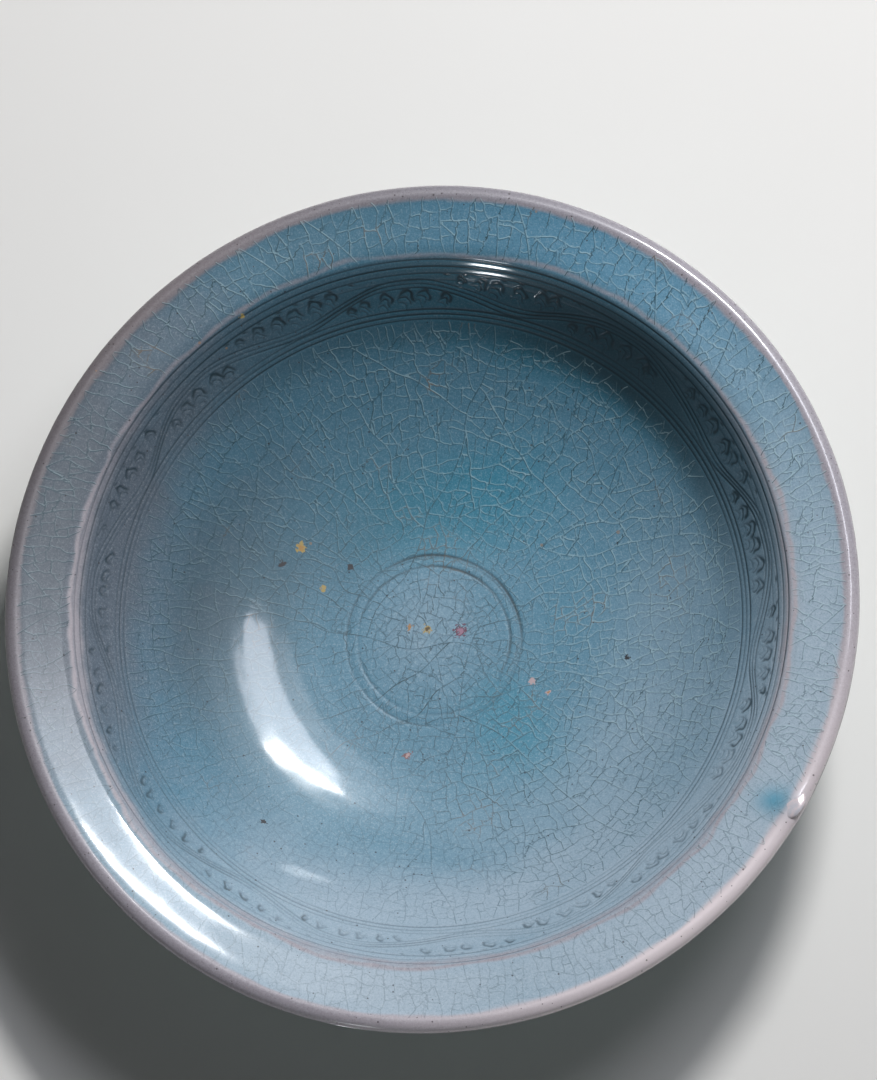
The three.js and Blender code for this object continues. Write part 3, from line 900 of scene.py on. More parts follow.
class InsideGlaze(Glaze):
    """The glaze of the inside: its height off the smooth section and what tints it."""

    def __init__(self, dish, path):
        super().__init__(dish, path)
        coat = dish.coat
        self.band = CarvedBand(dish, path)
        shoulder = dish.shoulder_radius
        upper = [shoulder - coat.upper_rings_in - k * coat.upper_pitch for k in range(3)]
        lower = [shoulder - coat.lower_rings_in - k * coat.lower_pitch for k in range(3)]
        medallion, gap = coat.medallion_radius, coat.medallion_gap
        combed = [(radius, 0.8, 1.0, 1.0) for radius in upper + lower]
        faint = [(upper[-1] - coat.upper_pitch, 0.3, 0.55, 1.0)]
        circles = [(medallion, 0.45, 0.76, 1.7), (medallion - 0.3 * gap, 0.25, 0.4, 1.2),
                   (medallion - gap, 0.4, 0.68, 1.6)]
        self.rings = [(path.in_well(radius), *press) for radius, *press in combed + faint + circles]
        self.crackle_edge = path.in_well(lower[-1]) - 1.6
        self.lip_foot = path.lip_start - 0.8
        self.uneven = waves(np.random.default_rng(8), 9, 60, 7)
        self.edges = waves(np.random.default_rng(9), 8, 40, 4)
        self.cracks = self.crackle()

    def squeeze(self, plan):
        """True size of a step round the axis as a share of its size on the plan."""
        return self.path.at(plan)[0] / np.maximum(plan, 1e-6)

    def wanted_cell(self, centre):
        """Cell size wanted along and across the radius, the lean of the cracks, and their force."""
        far = math.hypot(*centre)
        turn = math.atan2(centre[1], centre[0])
        left = float(toward(turn, 150, 80))
        right = float(toward(turn, 340, 80))
        if far > self.path.shoulder:
            along = lerp(6.4, 9.5, max(left, 0.5 * right))
            return along, lerp(6.4, 5.2, right), 0.3 * left - 0.35 * right, 1.0
        middle = 1 - float(smooth_step(26, 75, far))
        along = lerp(lerp(6.4, 8.5, left), 4.8, middle) - 0.6 * right
        around = lerp(lerp(6.0, 5.2, left), 4.6, middle) - 0.4 * right
        return along, around, 0.1 * left, lerp(1, 0.8, middle)

    def fade(self, points):
        """The crackle is bold over the far side and faint on the near left and in the middle."""
        turn = np.arctan2(points[:, 1], points[:, 0])
        far = np.hypot(*points.T)
        calm = toward(turn, 235, 75) * smooth_step(20, 60, far)
        low = toward(turn, 285, 60) * smooth_step(60, 110, far)
        flange = smooth_step(self.path.shoulder, self.path.shoulder + 2, far)
        return 1 - 0.62 * calm - 0.25 * low - 0.3 * flange * toward(turn, 320, 75)

    def crackle(self):
        """Cracks of the flange run from the shoulder to the foot of the lip; those of the well stop at
        the lower rings. The carved wall between them has none."""
        rng = np.random.default_rng(self.dish.coat.crack_seed)
        crack_map = CrackMap(self.lip_foot + 3, self.dish.coat.crack_cap)
        outlines, cracks = ring_outlines(self.path.shoulder + 1.2, self.lip_foot, 18, rng, 0.7)
        cracks += grow_cracks(outlines, self.wanted_cell, rng)
        turns = np.linspace(0, WHOLE_TURN, 361)[:-1]
        disc = self.crackle_edge * np.column_stack((np.cos(turns), np.sin(turns)))
        cracks += grow_cracks([disc], self.wanted_cell, rng)
        draw_cracks(crack_map, cracks, self.squeeze, self.fade, rng)
        return crack_map

    def cuts(self, distance, turn):
        """Depth and ink of the carved band and the rings. A ring is a bell across a line that
        wanders a little, and the tool presses unevenly round it."""
        wobble = 0.12 * np.sin(3 * turn + 0.7) + 0.07 * np.sin(7 * turn + 2)
        cut, ink = self.band.read(distance, turn)
        for middle, depth, dark, width in self.rings:
            press = bell(distance - middle - wobble, self.dish.coat.ring_width * width)
            press = press * (1 + 0.22 * np.sin(5 * turn + middle))
            cut = np.maximum(cut, depth * press)
            ink = np.maximum(ink, dark * press)
        # The cuts are darker towards the far right, where the wall turns away from the lamps: pooled glaze,
        # partly painted shade.
        far_side = toward(turn, 62, 125)
        return cut, ink * (0.56 + 0.66 * far_side)

    def surface(self, distance, turn):
        """Places on the glaze in millimetres, and the marks that its material reads. Height off the
        section: less in a cut, more along a crack, and long soft unevenness all over."""
        radius, height, _, _ = self.path.at(distance)
        x, y = radius * np.cos(turn), radius * np.sin(turn)
        cut, ink = self.cuts(distance, turn)
        near, side, force, lit = self.cracks.read(distance * np.cos(turn), distance * np.sin(turn))
        pool = patch_toward(x, y, POOL_TURN, POOL_RADIUS, POOL_REACH, 1.2, 0.5)
        uneven = ripple(self.uneven, x, y, height)
        bowl = plateau(8, 40, self.path.shoulder - 30, self.path.shoulder - 10, distance)
        throwing = np.sin(distance * WHOLE_TURN / 8.5 + 0.5 * uneven) * bowl
        off = self.ridge(near, force) - self.dish.coat.cut_depth * cut + 0.05 * uneven + 0.35 * pool
        off = off + lump_swell(self.dish, x, y) + 0.012 * throwing

        marks = self.tints(distance, turn, x, y, height)
        marks["cut"] = ink
        marks["pool"] = 0.85 * pool
        marks["crack_near"] = near
        marks["crack_side"] = side
        marks["crack_force"] = force * (1 - 0.75 * pool)
        # How strong each crack's painted highlight is: more on the right, less on the near side and the left.
        right, near_side, left = toward(turn, 5, 42), toward(turn, 255, 105), toward(turn, 160, 85)
        facing = np.clip(lit + 0.45 * right, 0, 1) * smooth_step(14, 60, radius)
        marks["crack_lit"] = facing * (1 - 0.85 * near_side) * (1 - 0.6 * left)
        return self.raised(distance, turn, off), marks

    def tints(self, distance, turn, x, y, height):
        """What tints the glaze, each from 0 to about 1. It runs thin over the lip and the shoulder,
        along edges that wander, and it is burnt, milky or dull on some sides of the dish. Part of its
        darkening is painted shade, the lip's brown partly so, and its cream and pale are partly painted
        light."""
        path = self.path
        radius = np.hypot(x, y)
        edges = ripple(self.edges, x, y, height)
        wide = 2.8 + 0.5 * toward(turn, 90, 80)
        lip = smooth_step(path.lip_start - wide + 1.1 * edges, path.lip_start + 0.4, distance)
        far_side = toward(turn, 88, 94)
        line = bell(distance - path.shoulder - 0.9 - 1.2 * edges, 1.5) * (0.78 - 0.2 * far_side)
        zone = bell(distance - path.shoulder + 1.8 - 1.3 * edges, 3.9) * (0.66 - 0.5 * far_side)
        shoulder = np.maximum(line, zone)
        upper_wall = smooth_step(path.shoulder - 20, path.shoulder, distance)
        flange = smooth_step(path.shoulder, path.shoulder + 3, distance)
        both_sides = np.maximum(toward(turn, 0, 50), toward(turn, 185, 50))
        left, near_left, near_lip = toward(turn, 162, 60), toward(turn, 232, 54), toward(turn, 224, 70)
        far_right, far_left, near_right = toward(turn, 50, 80), toward(turn, 142, 75), toward(turn, 312, 62)
        dull = 1.25 * left * upper_wall + 0.36 * flange * near_left + 0.9 * lip * near_lip
        return {
            "lip": lip,
            "thin": np.maximum(lip, shoulder),
            # Painted shade, with more of it on the lip's far right.
            "shade": self.shade(radius, turn) + 0.08 * lip * far_right,
            # Brown on the lip's far left: burnt glaze, partly painted shade.
            "brown": 0.5 * lip * far_left,
            # Cream on the lip's near right: milky glaze, partly painted light where the lip turns away from
            # the lamps; on the shoulder at both sides, milky glaze.
            "cream": 0.95 * lip * near_right + 0.36 * shoulder * both_sides,
            "matte": np.clip(dull, 0, 0.95),
            "teal": self.teal(x, y, distance, turn),
            "grey": self.grey(radius, turn),
            "blue": toward(turn, 62, 62) * smooth_step(path.shoulder, path.shoulder + 4, distance),
            "pale": self.pale(x, y, radius, turn) + 0.35 * shoulder,
        }

    def teal(self, x, y, distance, turn):
        """Where the glaze has pooled: above and right of the middle, below it to the right, and on
        the far wall."""
        well = 1 - smooth_step(self.path.shoulder - 8, self.path.shoulder, distance)
        pools = sum(strength * patch(x, y, *shape) for strength, shape in TEAL_POOLS)
        wall = plateau(88, 106, 124, 127, np.hypot(x, y))
        far_side = toward(turn, 60, 80)
        return well * pools - 0.7 * patch(x, y, 0, 2, 20) + 0.9 * wall * far_side

    def grey(self, radius, turn):
        """Greyer on the left, from the wall of the well out over the flange."""
        left = toward(turn, 168, 88)
        return left * (0.55 * smooth_step(42, 88, radius) + 0.45 * smooth_step(96, 120, radius))

    def shade(self, radius, turn):
        """Painted shade: darker on the far left, on the far wall and on the far side of the flange."""
        bowl = plateau(42, 60, 84, 104, radius)
        wall = plateau(96, 108, 122, 127, radius)
        flange = smooth_step(126, 131, radius)
        off_middle = smooth_step(22, 46, radius) * (1 - 0.5 * flange)
        far_left, far_right, far_side = toward(turn, 122, 90), toward(turn, 50, 66), toward(turn, 112, 34)
        return (0.33 * far_left * off_middle + 0.85 * wall * far_right + 0.22 * wall * far_side
                + 0.38 * bowl * toward(turn, 180, 62)
                + 0.32 * flange * toward(turn, 168, 54) + 0.17 * flange * toward(turn, 92, 46))

    def pale(self, x, y, radius, turn):
        """Paler on the right and the near side, most of all on the flange, from milky glaze and painted
        light; and milkier in the middle.
        """
        outward = smooth_step(32, 84, radius) * 0.62 + smooth_step(100, 132, radius) * 0.5
        right, near_side, near_right = toward(turn, 325, 125), toward(turn, 262, 72), toward(turn, 297, 34)
        sides = np.maximum(right * outward, 0.95 * near_side * smooth_step(62, 106, radius))
        bowl_top = plateau(80, 98, 112, 124, radius)
        return sides + 0.3 * near_right * bowl_top + 0.5 * patch(x, y, -4, 4, 27)


class OutsideGlaze(Glaze):
    """The glaze of the underside, paler and with larger cells; it ends in a rolled edge."""

    def __init__(self, dish, path):
        super().__init__(dish, path)
        self.end = path.end
        self.edges = waves(np.random.default_rng(31), 10, 70, 5)
        rng = np.random.default_rng(dish.coat.crack_seed + 1)
        crack_map = CrackMap(self.plan(path.lip_edge) + 3, dish.coat.crack_cap)
        inner, outer = self.plan(self.end - 1.5), self.plan(path.lip_under + 1)
        outlines, cracks = ring_outlines(inner, outer, 22, rng, 0.2)
        cracks += grow_cracks(outlines, lambda centre: (11, 8, 0.1, 0.8), rng)
        draw_cracks(crack_map, cracks, self.squeeze, lambda points: np.ones(len(points)), rng)
        self.cracks = crack_map

    def plan(self, distance):
        """The plan is laid out from the glaze line outward."""
        return self.dish.glaze_line + self.end - distance

    def squeeze(self, plan):
        """True size of a step round the axis as a share of its size on the plan."""
        return self.path.at(self.end + self.dish.glaze_line - plan)[0] / plan

    def surface(self, distance, turn):
        """Places on the outside glaze and the marks that its material reads. It has ridges along
        the cracks and traces of turning, and near its end it rolls up and then thins out."""
        path = self.path
        radius, height, _, _ = path.at(distance)
        x, y = radius * np.cos(turn), radius * np.sin(turn)
        edges = ripple(self.edges, x, y, height)
        plan = self.plan(distance)
        near, side, force, lit = self.cracks.read(plan * np.cos(turn), plan * np.sin(turn))
        roll = 0.5 * bell(distance - self.end + 2.2, 1.6)
        ends = smooth_step(self.end - 0.9, self.end + 0.3, distance) * (self.dish.coat.coat - 0.1)
        turning = 0.06 * np.sin(distance * WHOLE_TURN / 5.2 + edges)
        off = self.ridge(near, force) + 0.1 * edges + roll - ends + turning + lump_swell(self.dish, x, y)
        lip = 1 - smooth_step(path.lip_under - 1.5 + edges, path.lip_under + 2.5, distance)
        thin = 0.5 * bell(distance - self.end, 1.4)
        marks = {name: np.zeros(np.shape(x)) for name in TINTS}
        marks.update(zip(CRACK_MARKS, (near, side, force, lit)))
        marks["lip"] = lip
        marks["thin"] = np.maximum(lip, thin)
        marks["teal"] = 0.6 * bell(distance - self.end + 3, 3) + 0.15 * edges
        marks["grey"] = 0.3 * toward(turn, 178, 90)
        marks["pale"] = 0.3 + 0.3 * edges
        return self.raised(distance, turn, off), marks


# Meshes

# Distance between the points of a glaze ring's lower side, in millimetres
UNDER_STEP = 3


def make_piece(name, places, faces, normals, marks, material, replaced):
    """A mesh object from places in millimetres and groups of faces, with a shading normal and
    named numbers at each of its points. It rides on the dish and stands for its solid."""
    mesh = bpy.data.meshes.new(name)
    mesh.vertices.add(len(places))
    mesh.vertices.foreach_set("co", (places * MM).astype(np.float32).ravel())
    corners = np.concatenate([group.ravel() for group in faces])
    sizes = np.concatenate([np.full(len(group), group.shape[1]) for group in faces])
    mesh.loops.add(len(corners))
    mesh.loops.foreach_set("vertex_index", corners.astype(np.int32))
    mesh.polygons.add(len(sizes))
    starts = np.concatenate(([0], np.cumsum(sizes)[:-1]))
    mesh.polygons.foreach_set("loop_start", starts.astype(np.int32))
    mesh.polygons.foreach_set("use_smooth", np.ones(len(sizes), bool))
    mesh.update(calc_edges=True)
    for mark, values in marks.items():
        attribute = mesh.attributes.new(mark, "FLOAT", "POINT")
        attribute.data.foreach_set("value", np.asarray(values, np.float32).ravel())
    if normals is not None:
        mesh.normals_split_custom_set_from_vertices(normals.astype(np.float32))
    mesh.materials.append(material)
    piece = bpy.data.objects.new(name, mesh)
    bpy.context.scene.collection.objects.link(piece)
    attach(piece, "root")
    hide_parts(replaced)
    return piece


def round_axis(columns):
    """Turns of so many columns round the axis."""
    return np.arange(columns) * WHOLE_TURN / columns


def grid_faces(rows, columns, close_rows=False):
    """Quads between the rows of a grid that closes on itself round the axis."""
    row_count = rows if close_rows else rows - 1
    row, column = np.meshgrid(np.arange(row_count), np.arange(columns), indexing="ij")
    after, beside = (row + 1) % rows, (column + 1) % columns
    quads = np.stack((row * columns + column, after * columns + column,
                      after * columns + beside, row * columns + beside), -1)
    return quads.reshape(-1, 4)


def capped_faces(rows, columns):
    """Quads of a grid, and a fan of triangles at each end of it. The two points that the fans
    meet in come after the points of the grid."""
    ring = np.arange(columns)
    beside = (ring + 1) % columns
    count, last = rows * columns, (rows - 1) * columns
    start = np.stack((np.full(columns, count), ring, beside), -1)
    end = np.stack((np.full(columns, count + 1), last + beside, last + ring), -1)
    return [grid_faces(rows, columns), start, end]


def normals_of(places):
    """Normals of a grid of places: its first axis runs outward and its second one round. The
    first and last rows are margins and get none."""
    outward = places[2:] - places[:-2]
    around = np.roll(places, -1, axis=1)[1:-1] - np.roll(places, 1, axis=1)[1:-1]
    normals = np.cross(outward, around)
    return normals / np.linalg.norm(normals, axis=-1, keepdims=True)


def underside(glaze, distances, turns):
    """The lower side of a ring of glaze, just off the clay, and its normals."""
    distance, turn = np.meshgrid(distances, turns, indexing="ij")
    thick = glaze.path.coat_at(distance) - glaze.dish.coat.bond_gap
    places = glaze.raised(distance, turn, -thick)
    _, _, out_radius, out_height = glaze.path.at(distance)
    normals = -np.stack((out_radius * np.cos(turn), out_radius * np.sin(turn), out_height), -1)
    return places.reshape(-1, 3), normals.reshape(-1, 3)


def glaze_ring(name, glaze, start, end, rows, columns, material, replaced):
    """One ring of glaze as a closed body. Its upper side is the glaze's surface between two
    distances along the section, its lower side lies just off the clay, and its edges are walls
    on which it meets the rings beside it. A ring that starts at the axis is closed by a point."""
    dish, path = glaze.dish, glaze.path
    at_axis = start == 0
    step = (end - start) / rows
    first_row = 1 if at_axis else 0
    distances = start + step * np.arange(first_row - 1, rows + 2)
    turns = round_axis(columns)
    upper, marks = glaze.surface(*np.meshgrid(distances, turns, indexing="ij"))
    under_rows = max(3, int((end - start) / UNDER_STEP))
    below, below_normals = underside(glaze, np.linspace(end, start + step * first_row, under_rows), turns)
    above = upper[1:-1].reshape(-1, 3)
    points = np.concatenate((above, below))
    normals = np.concatenate((normals_of(upper).reshape(-1, 3), below_normals))
    flat = np.zeros(len(below))
    values = {mark: np.concatenate((value[1:-1].ravel(), flat)) for mark, value in marks.items()}
    for mark in ("crack_near", "crack_side"):
        values[mark][len(above):] = dish.coat.crack_cap
    total_rows = len(points) // columns
    if not at_axis:
        faces = [grid_faces(total_rows, columns, close_rows=True)]
    else:
        faces = capped_faces(total_rows, columns)
        middle, middle_marks = glaze.surface(np.zeros((1, 1)), np.zeros((1, 1)))
        low_middle = middle[0] - (0, 0, path.coat_at(0.0) - dish.coat.bond_gap)
        points = np.concatenate((points, middle[0], low_middle))
        normals = np.concatenate((normals, [(0, 0, 1)], [(0, 0, -1)]))
        for mark, value in middle_marks.items():
            values[mark] = np.concatenate((values[mark], value.ravel(), [0]))
    return make_piece(name, points, faces, normals, values, material, replaced)


# Materials

class Wire:
    """A number that flows through a material. Arithmetic on it adds Math nodes."""

    def __init__(self, shader, socket):
        self.shader = shader
        self.socket = socket

    def __add__(self, other):
        return self.shader.math("ADD", self, other)

    def __sub__(self, other):
        return self.shader.math("SUBTRACT", self, other)

    def __rsub__(self, other):
        return self.shader.math("SUBTRACT", other, self)

    def __mul__(self, other):
        return self.shader.math("MULTIPLY", self, other)

    def __truediv__(self, other):
        return self.shader.math("DIVIDE", self, other)

    def __pow__(self, other):
        return self.shader.math("POWER", self, other)

    def __abs__(self):
        return self.shader.math("ABSOLUTE", self)

    __radd__ = __add__
    __rmul__ = __mul__


class Shader:
    """A material under construction, around one Principled BSDF."""
    RAGGED = 1.6

    def __init__(self, name, roughness=0.5, ior=1.5):
        self.material = bpy.data.materials.new(name)
        self.material.use_nodes = True
        self.tree = self.material.node_tree
        self.surface = self.tree.nodes["Principled BSDF"]
        self.surface.inputs["Roughness"].default_value = roughness
        self.surface.inputs["IOR"].default_value = ior
        self.place = self.node("ShaderNodeTexCoord").outputs["Object"]

    def node(self, kind, options=None, inputs=None):
        """Adds a node, sets its options and then feeds its inputs."""
        made = self.tree.nodes.new(kind)
        for option, value in (options or {}).items():
            setattr(made, option, value)
        for key, value in (inputs or {}).items():
            self.feed(made.inputs[key], value)
        return made

    def feed(self, socket, value):
        """Links a wire or a socket to an input, or sets the input to a value."""
        if isinstance(value, Wire):
            value = value.socket
        if isinstance(value, bpy.types.NodeSocket):
            self.tree.links.new(value, socket)
        elif socket.type == "RGBA" and len(value) == 3:
            socket.default_value = (*value, 1.0)
        else:
            socket.default_value = value

    def math(self, operation, *values):
        """A Math node on wires and numbers."""
        made = self.node("ShaderNodeMath", {"operation": operation}, dict(enumerate(values)))
        return Wire(self, made.outputs[0])

    def mark(self, name):
        """A number that the mesh holds at each of its points."""
        made = self.node("ShaderNodeAttribute", {"attribute_name": name})
        return Wire(self, made.outputs["Fac"])

    def step(self, value, low, high):
        """0 below low, 1 above high, smooth between; low may be the greater of the two."""
        made = self.node("ShaderNodeMapRange", {"interpolation_type": "SMOOTHSTEP"},
                         {"Value": value, "From Min": low, "From Max": high})
        return Wire(self, made.outputs["Result"])

    def noise(self, size, detail=2.0, roughness=0.5):
        """Soft noise around 0.5, with features about size millimetres across."""
        made = self.node("ShaderNodeTexNoise", None, {
            "Vector": self.place, "Scale": 1 / (size * MM), "Detail": detail, "Roughness": roughness})
        return Wire(self, made.outputs[0])

    def specks(self, spacing, radius, share):
        """Small round dots at random places, in a share of the cells of a grid."""
        cells = self.node("ShaderNodeTexVoronoi", None, {"Vector": self.place, "Scale": 1 / (spacing * MM)})
        pick = self.node("ShaderNodeSeparateColor", None, {"Color": cells.outputs["Color"]})
        size = radius / spacing
        chosen = Wire(self, pick.outputs["Red"])
        grown = Wire(self, pick.outputs["Green"]) * (size * 1.2) + size * 0.4
        inside = self.math("LESS_THAN", Wire(self, cells.outputs["Distance"]), grown)
        return inside * self.math("LESS_THAN", chosen, share)

    def mix(self, first, second, share):
        """A colour between two colours."""
        made = self.node("ShaderNodeMix", {"data_type": "RGBA"}, {0: share, 6: first, 7: second})
        return made.outputs[2]

    def spot(self, x, y, radius):
        """A spot on the plan with a ragged edge, with its centre and radius in millimetres."""
        split = self.node("ShaderNodeSeparateXYZ", None, {"Vector": self.place})
        east = (Wire(self, split.outputs["X"]) - x * MM) / MM
        north = (Wire(self, split.outputs["Y"]) - y * MM) / MM
        away = (east * east + north * north) ** 0.5
        away = away + (self.noise(1.1, 3.0) - 0.5) * (radius * self.RAGGED * 2)
        return self.step(away, radius * 1.15, radius * 0.7)

    def finish(self, base, roughness=None, height=None):
        """Feeds the surface. The height is in millimetres."""
        self.feed(self.surface.inputs["Base Color"], base)
        if roughness is not None:
            self.feed(self.surface.inputs["Roughness"], roughness)
        if height is not None:
            bump = self.node("ShaderNodeBump", None, {"Distance": MM, "Height": height})
            self.feed(self.surface.inputs["Normal"], bump.outputs["Normal"])
        return self.material


# Colours of the pale grains in the glaze and in the bare clay
FROST = (0.8, 0.86, 0.9)
CLAY_GRIT = (0.55, 0.47, 0.4)


def with_cracks(shader, base, marks, hues):
    """A dark line on each crack, partly a painted shadow on its side away from the light, and a
    painted highlight beside it towards the light, with rust in places.
    """
    close = shader.step(marks["crack_near"], 0.8, 0.4) * marks["crack_force"]
    line = shader.step(abs(marks["crack_side"] + 0.13), 0.28, 0.07) * close
    glint = shader.step(abs(marks["crack_side"] - 0.16), 0.25, 0.06) * close * marks["crack_lit"]
    base = shader.mix(base, hues.crack, line * (0.72 - marks["crack_lit"] * 0.3))
    base = shader.mix(base, hues.glint, glint * 0.4)
    rust = shader.step(shader.noise(24, 2.0), 0.6, 0.72) * line
    return shader.mix(base, hues.stain, rust * 0.22)


def glaze_material(name, base_colour, spots):
    """Crackled celadon: tints from the thickness marks, with painted shade and painted light among
    them, softly mottled, darker in the cuts, with fine lines on the cracks, iron specks and a few stains."""
    hues = settings("dish_colours")
    shader = Shader(name, 0.2, 1.52)
    marks = {mark: shader.mark(mark) for mark in TINTS + CRACK_MARKS}
    cloud = shader.noise(40, 3.0, 0.55)
    blotch = shader.noise(9, 3.0, 0.6)
    grain = shader.noise(1.1, 3.0, 0.65)
    stir = (cloud - 0.5) * 0.55 + (blotch - 0.5) * 0.25

    base = shader.mix(base_colour, hues.grey, shader.step(marks["grey"] + stir, 0.1, 0.95))
    base = shader.mix(base, hues.blue, shader.step(marks["blue"] + stir, 0.1, 1.1))
    base = shader.mix(base, hues.teal, shader.step(marks["teal"] + stir * 1.7, 0.1, 1.15))
    base = shader.mix(base, hues.pale, shader.step(marks["pale"] + stir * 0.6, 0.02, 1.15))
    base = shader.mix(base, hues.thin, shader.step(marks["thin"] + (blotch - 0.5) * 0.5, 0.25, 0.9))
    sand = shader.noise(0.55, 2.0, 0.7)
    base = shader.mix(base, FROST, shader.step(grain * 0.5 + sand * 0.5, 0.5, 0.68) * 0.15)
    base = shader.mix(base, hues.groove_and_shade, shader.step(grain * 0.5 + sand * 0.5, 0.48, 0.32) * 0.24)
    for hue in ("cream", "pool", "brown"):
        base = shader.mix(base, getattr(hues, hue), marks[hue])
    # Painted shade.
    base = shader.mix(base, hues.groove_and_shade, marks["shade"])
    base = shader.mix(base, hues.groove_and_shade, shader.step(marks["cut"], 0.05, 1.1) * 0.9)

    base = with_cracks(shader, base, marks, hues)
    specks = shader.specks(2.7, 0.24, 0.4) + shader.specks(1.7, 0.2, 0.3) * marks["lip"]
    base = shader.mix(base, hues.iron, specks * 0.7)
    base = shader.mix(base, hues.stain, shader.specks(9, 0.5, 0.1) * 0.4)
    for x, y, radius, hue, heart in spots:
        base = shader.mix(base, hue, shader.spot(x, y, radius) * 0.9)
        if heart:
            base = shader.mix(base, heart, shader.spot(x, y, radius * 0.55) * 0.8)

    height = grain * 0.026 + shader.noise(4.2, 2.0) * 0.02 + shader.noise(0.45, 1.0) * 0.009
    shader.feed(shader.surface.inputs["Coat Weight"], 1 - marks["matte"])
    shader.surface.inputs["Coat Roughness"].default_value = 0.1
    roughness = 0.5 + (blotch - 0.5) * 0.1 + specks * 0.2
    return shader.finish(base, roughness, height)


def clay_material():
    """Bare stoneware: burnt orange to brown, sandy, with turning marks and a scar in the recess."""
    hues = settings("dish_colours")
    shader = Shader("bare_stoneware", 0.85)
    sand = shader.noise(0.9, 4.0, 0.7)
    cloud = shader.noise(30, 3.0, 0.6)
    base = shader.mix(hues.clay, hues.clay_dark, shader.step(cloud + shader.mark("flash") * 0.6, 0.35, 1.0))
    base = shader.mix(base, CLAY_GRIT, shader.step(sand, 0.6, 0.78) * 0.5)
    base = shader.mix(base, hues.clay_dark, shader.mark("scar") * 0.6)
    base = shader.mix(base, hues.iron, shader.specks(2.6, 0.3, 0.2) * 0.8)
    height = sand * 0.16 + shader.noise(3.0, 3.0, 0.6) * 0.12 + shader.mark("turning") * 0.1
    return shader.finish(base, 0.72 + sand * 0.25, height)


def lump_material():
    """Glassy kiln grit: pinkish white, milky and glossy, rusty round its foot."""
    hues = settings("dish_colours")
    shader = Shader("kiln_grit_blob", 0.15, 1.5)
    cloud = shader.noise(3.5, 3.0, 0.6)
    base = shader.mix(hues.grit, hues.pale, shader.step(cloud, 0.4, 0.7) * 0.5)
    rust = shader.step(shader.mark("foot") + (cloud - 0.5) * 0.8, 0.55, 1.0)
    base = shader.mix(base, hues.stain, rust * 0.55)
    base = shader.mix(base, hues.iron, shader.specks(1.6, 0.18, 0.25) * 0.7)
    return shader.finish(base, 0.14 + cloud * 0.14, shader.noise(1.4, 3.0) * 0.09)


# Operators

# Radii at which rings of glaze meet in the well, and how far off an edge other rings meet, in
# millimetres
BOWL_TOP = 104.0
BOWL_FOOT = 74.0
MIDDLE_EDGE = 35.5
SEAM_STEP = 1.0

# Radii of the clay's first and last rings round the axis, which a point closes
BASE_START = 0.7
COVER_START = 0.5
BASE_RINGS = 72
CLAY_COLUMNS = 520
LUMP_ROWS = 72
LUMP_COLUMNS = 128


def build_rings(glaze, rings, material, replaced):
    """Makes rings of glaze from their names, ends along the section, rows and columns."""
    for name, start, end, rows, columns in rings:
        glaze_ring(name, glaze, start, end, rows, columns, material, replaced)


class DISH_OT_inside_glaze(bpy.types.Operator):
    """Makes the glaze of the inside, ring by ring from the middle of the well to the lip"""
    bl_idname = "dish.inside_glaze"
    bl_label = "Inside glaze"

    def execute(self, context):
        """Rings of the inside glaze, and the specks and stains on it: where each lies in
        millimetres, its radius, its colour and the colour of its heart."""
        dish = Dish()
        path = GlazedPath(dish)
        glaze = InsideGlaze(dish, path)
        hues = settings("dish_colours")
        iron, rust = tuple(hues.iron), tuple(hues.stain)
        purple, mauve, plum = (0.13, 0.02, 0.05), (0.35, 0.2, 0.28), (0.2, 0.07, 0.06)
        yellow, pink = (0.42, 0.3, 0.08), (0.5, 0.36, 0.36)
        spots = [
            (7.7, 2.8, 2.2, purple, mauve), (-4.0, 3.3, 1.6, yellow, iron), (-10.0, 4.1, 1.1, rust, None),
            (-31.0, 26.1, 1.1, iron, None), (-54.6, 26.7, 1.1, iron, None), (66.2, -9.0, 0.9, iron, None),
            (-10.6, -41.9, 1.5, plum, pink), (-48.3, 32.6, 1.8, yellow, rust),
            (-40.5, 18.4, 1.1, yellow, None), (32.8, -15.8, 1.1, pink, None), (38.5, -20.0, 0.9, pink, rust),
            (-60.0, -68.2, 1.0, iron, None), (-66.1, 104.6, 0.9, yellow, None),
        ]
        material = glaze_material("celadon_inside", tuple(hues.celadon), spots)
        carved = path.in_well(dish.shoulder_radius - dish.coat.lower_rings_in + 0.7)
        upper = path.in_well(dish.shoulder_radius - dish.coat.upper_rings_in - 2.5 * dish.coat.upper_pitch)
        outer, inner, middle = path.in_well(BOWL_TOP), path.in_well(BOWL_FOOT), path.in_well(MIDDLE_EDGE)
        flange, lip = path.shoulder + SEAM_STEP, path.lip_start - SEAM_STEP
        build_rings(glaze, [
            ("glaze_middle", 0, middle, 70, 450),
            ("glaze_well_floor", middle, inner, 80, 900),
            ("glaze_well_bowl", inner, outer, 68, 1200),
            ("glaze_lower_rings", outer, carved, 26, 1800),
            ("glaze_carved_band", carved, upper, 36, 1800),
            ("glaze_upper_rings", upper, flange, 30, 1800),
            ("glaze_flange", flange, lip, 38, 1800),
            ("glaze_lip", lip, path.lip_edge, 26, 1800),
        ], material, "inside_glaze_coat")
        return {"FINISHED"}


class DISH_OT_outside_glaze(bpy.types.Operator):
    """Makes the glaze of the underside, from the lip down to the glaze line above the foot"""
    bl_idname = "dish.outside_glaze"
    bl_label = "Outside glaze"

    def execute(self, context):
        """Rings of the outside glaze. Two of them meet at 0.35 of the way down the turned wall."""
        dish = Dish()
        path = GlazedPath(dish)
        glaze = OutsideGlaze(dish, path)
        material = glaze_material("celadon_outside", tuple(settings("dish_colours").outside), [])
        turned = lerp(path.wall_top, path.end, 0.35)
        under = path.lip_under + SEAM_STEP
        build_rings(glaze, [
            ("glaze_under_lip", path.lip_edge, under, 12, 1800),
            ("glaze_under_flange", under, path.wall_top, 34, 1200),
            ("glaze_outer_wall", path.wall_top, turned, 38, 1200),
            ("glaze_foot_edge", turned, path.end, 64, 900),
        ], material, "outside_glaze_coat")
        return {"FINISHED"}


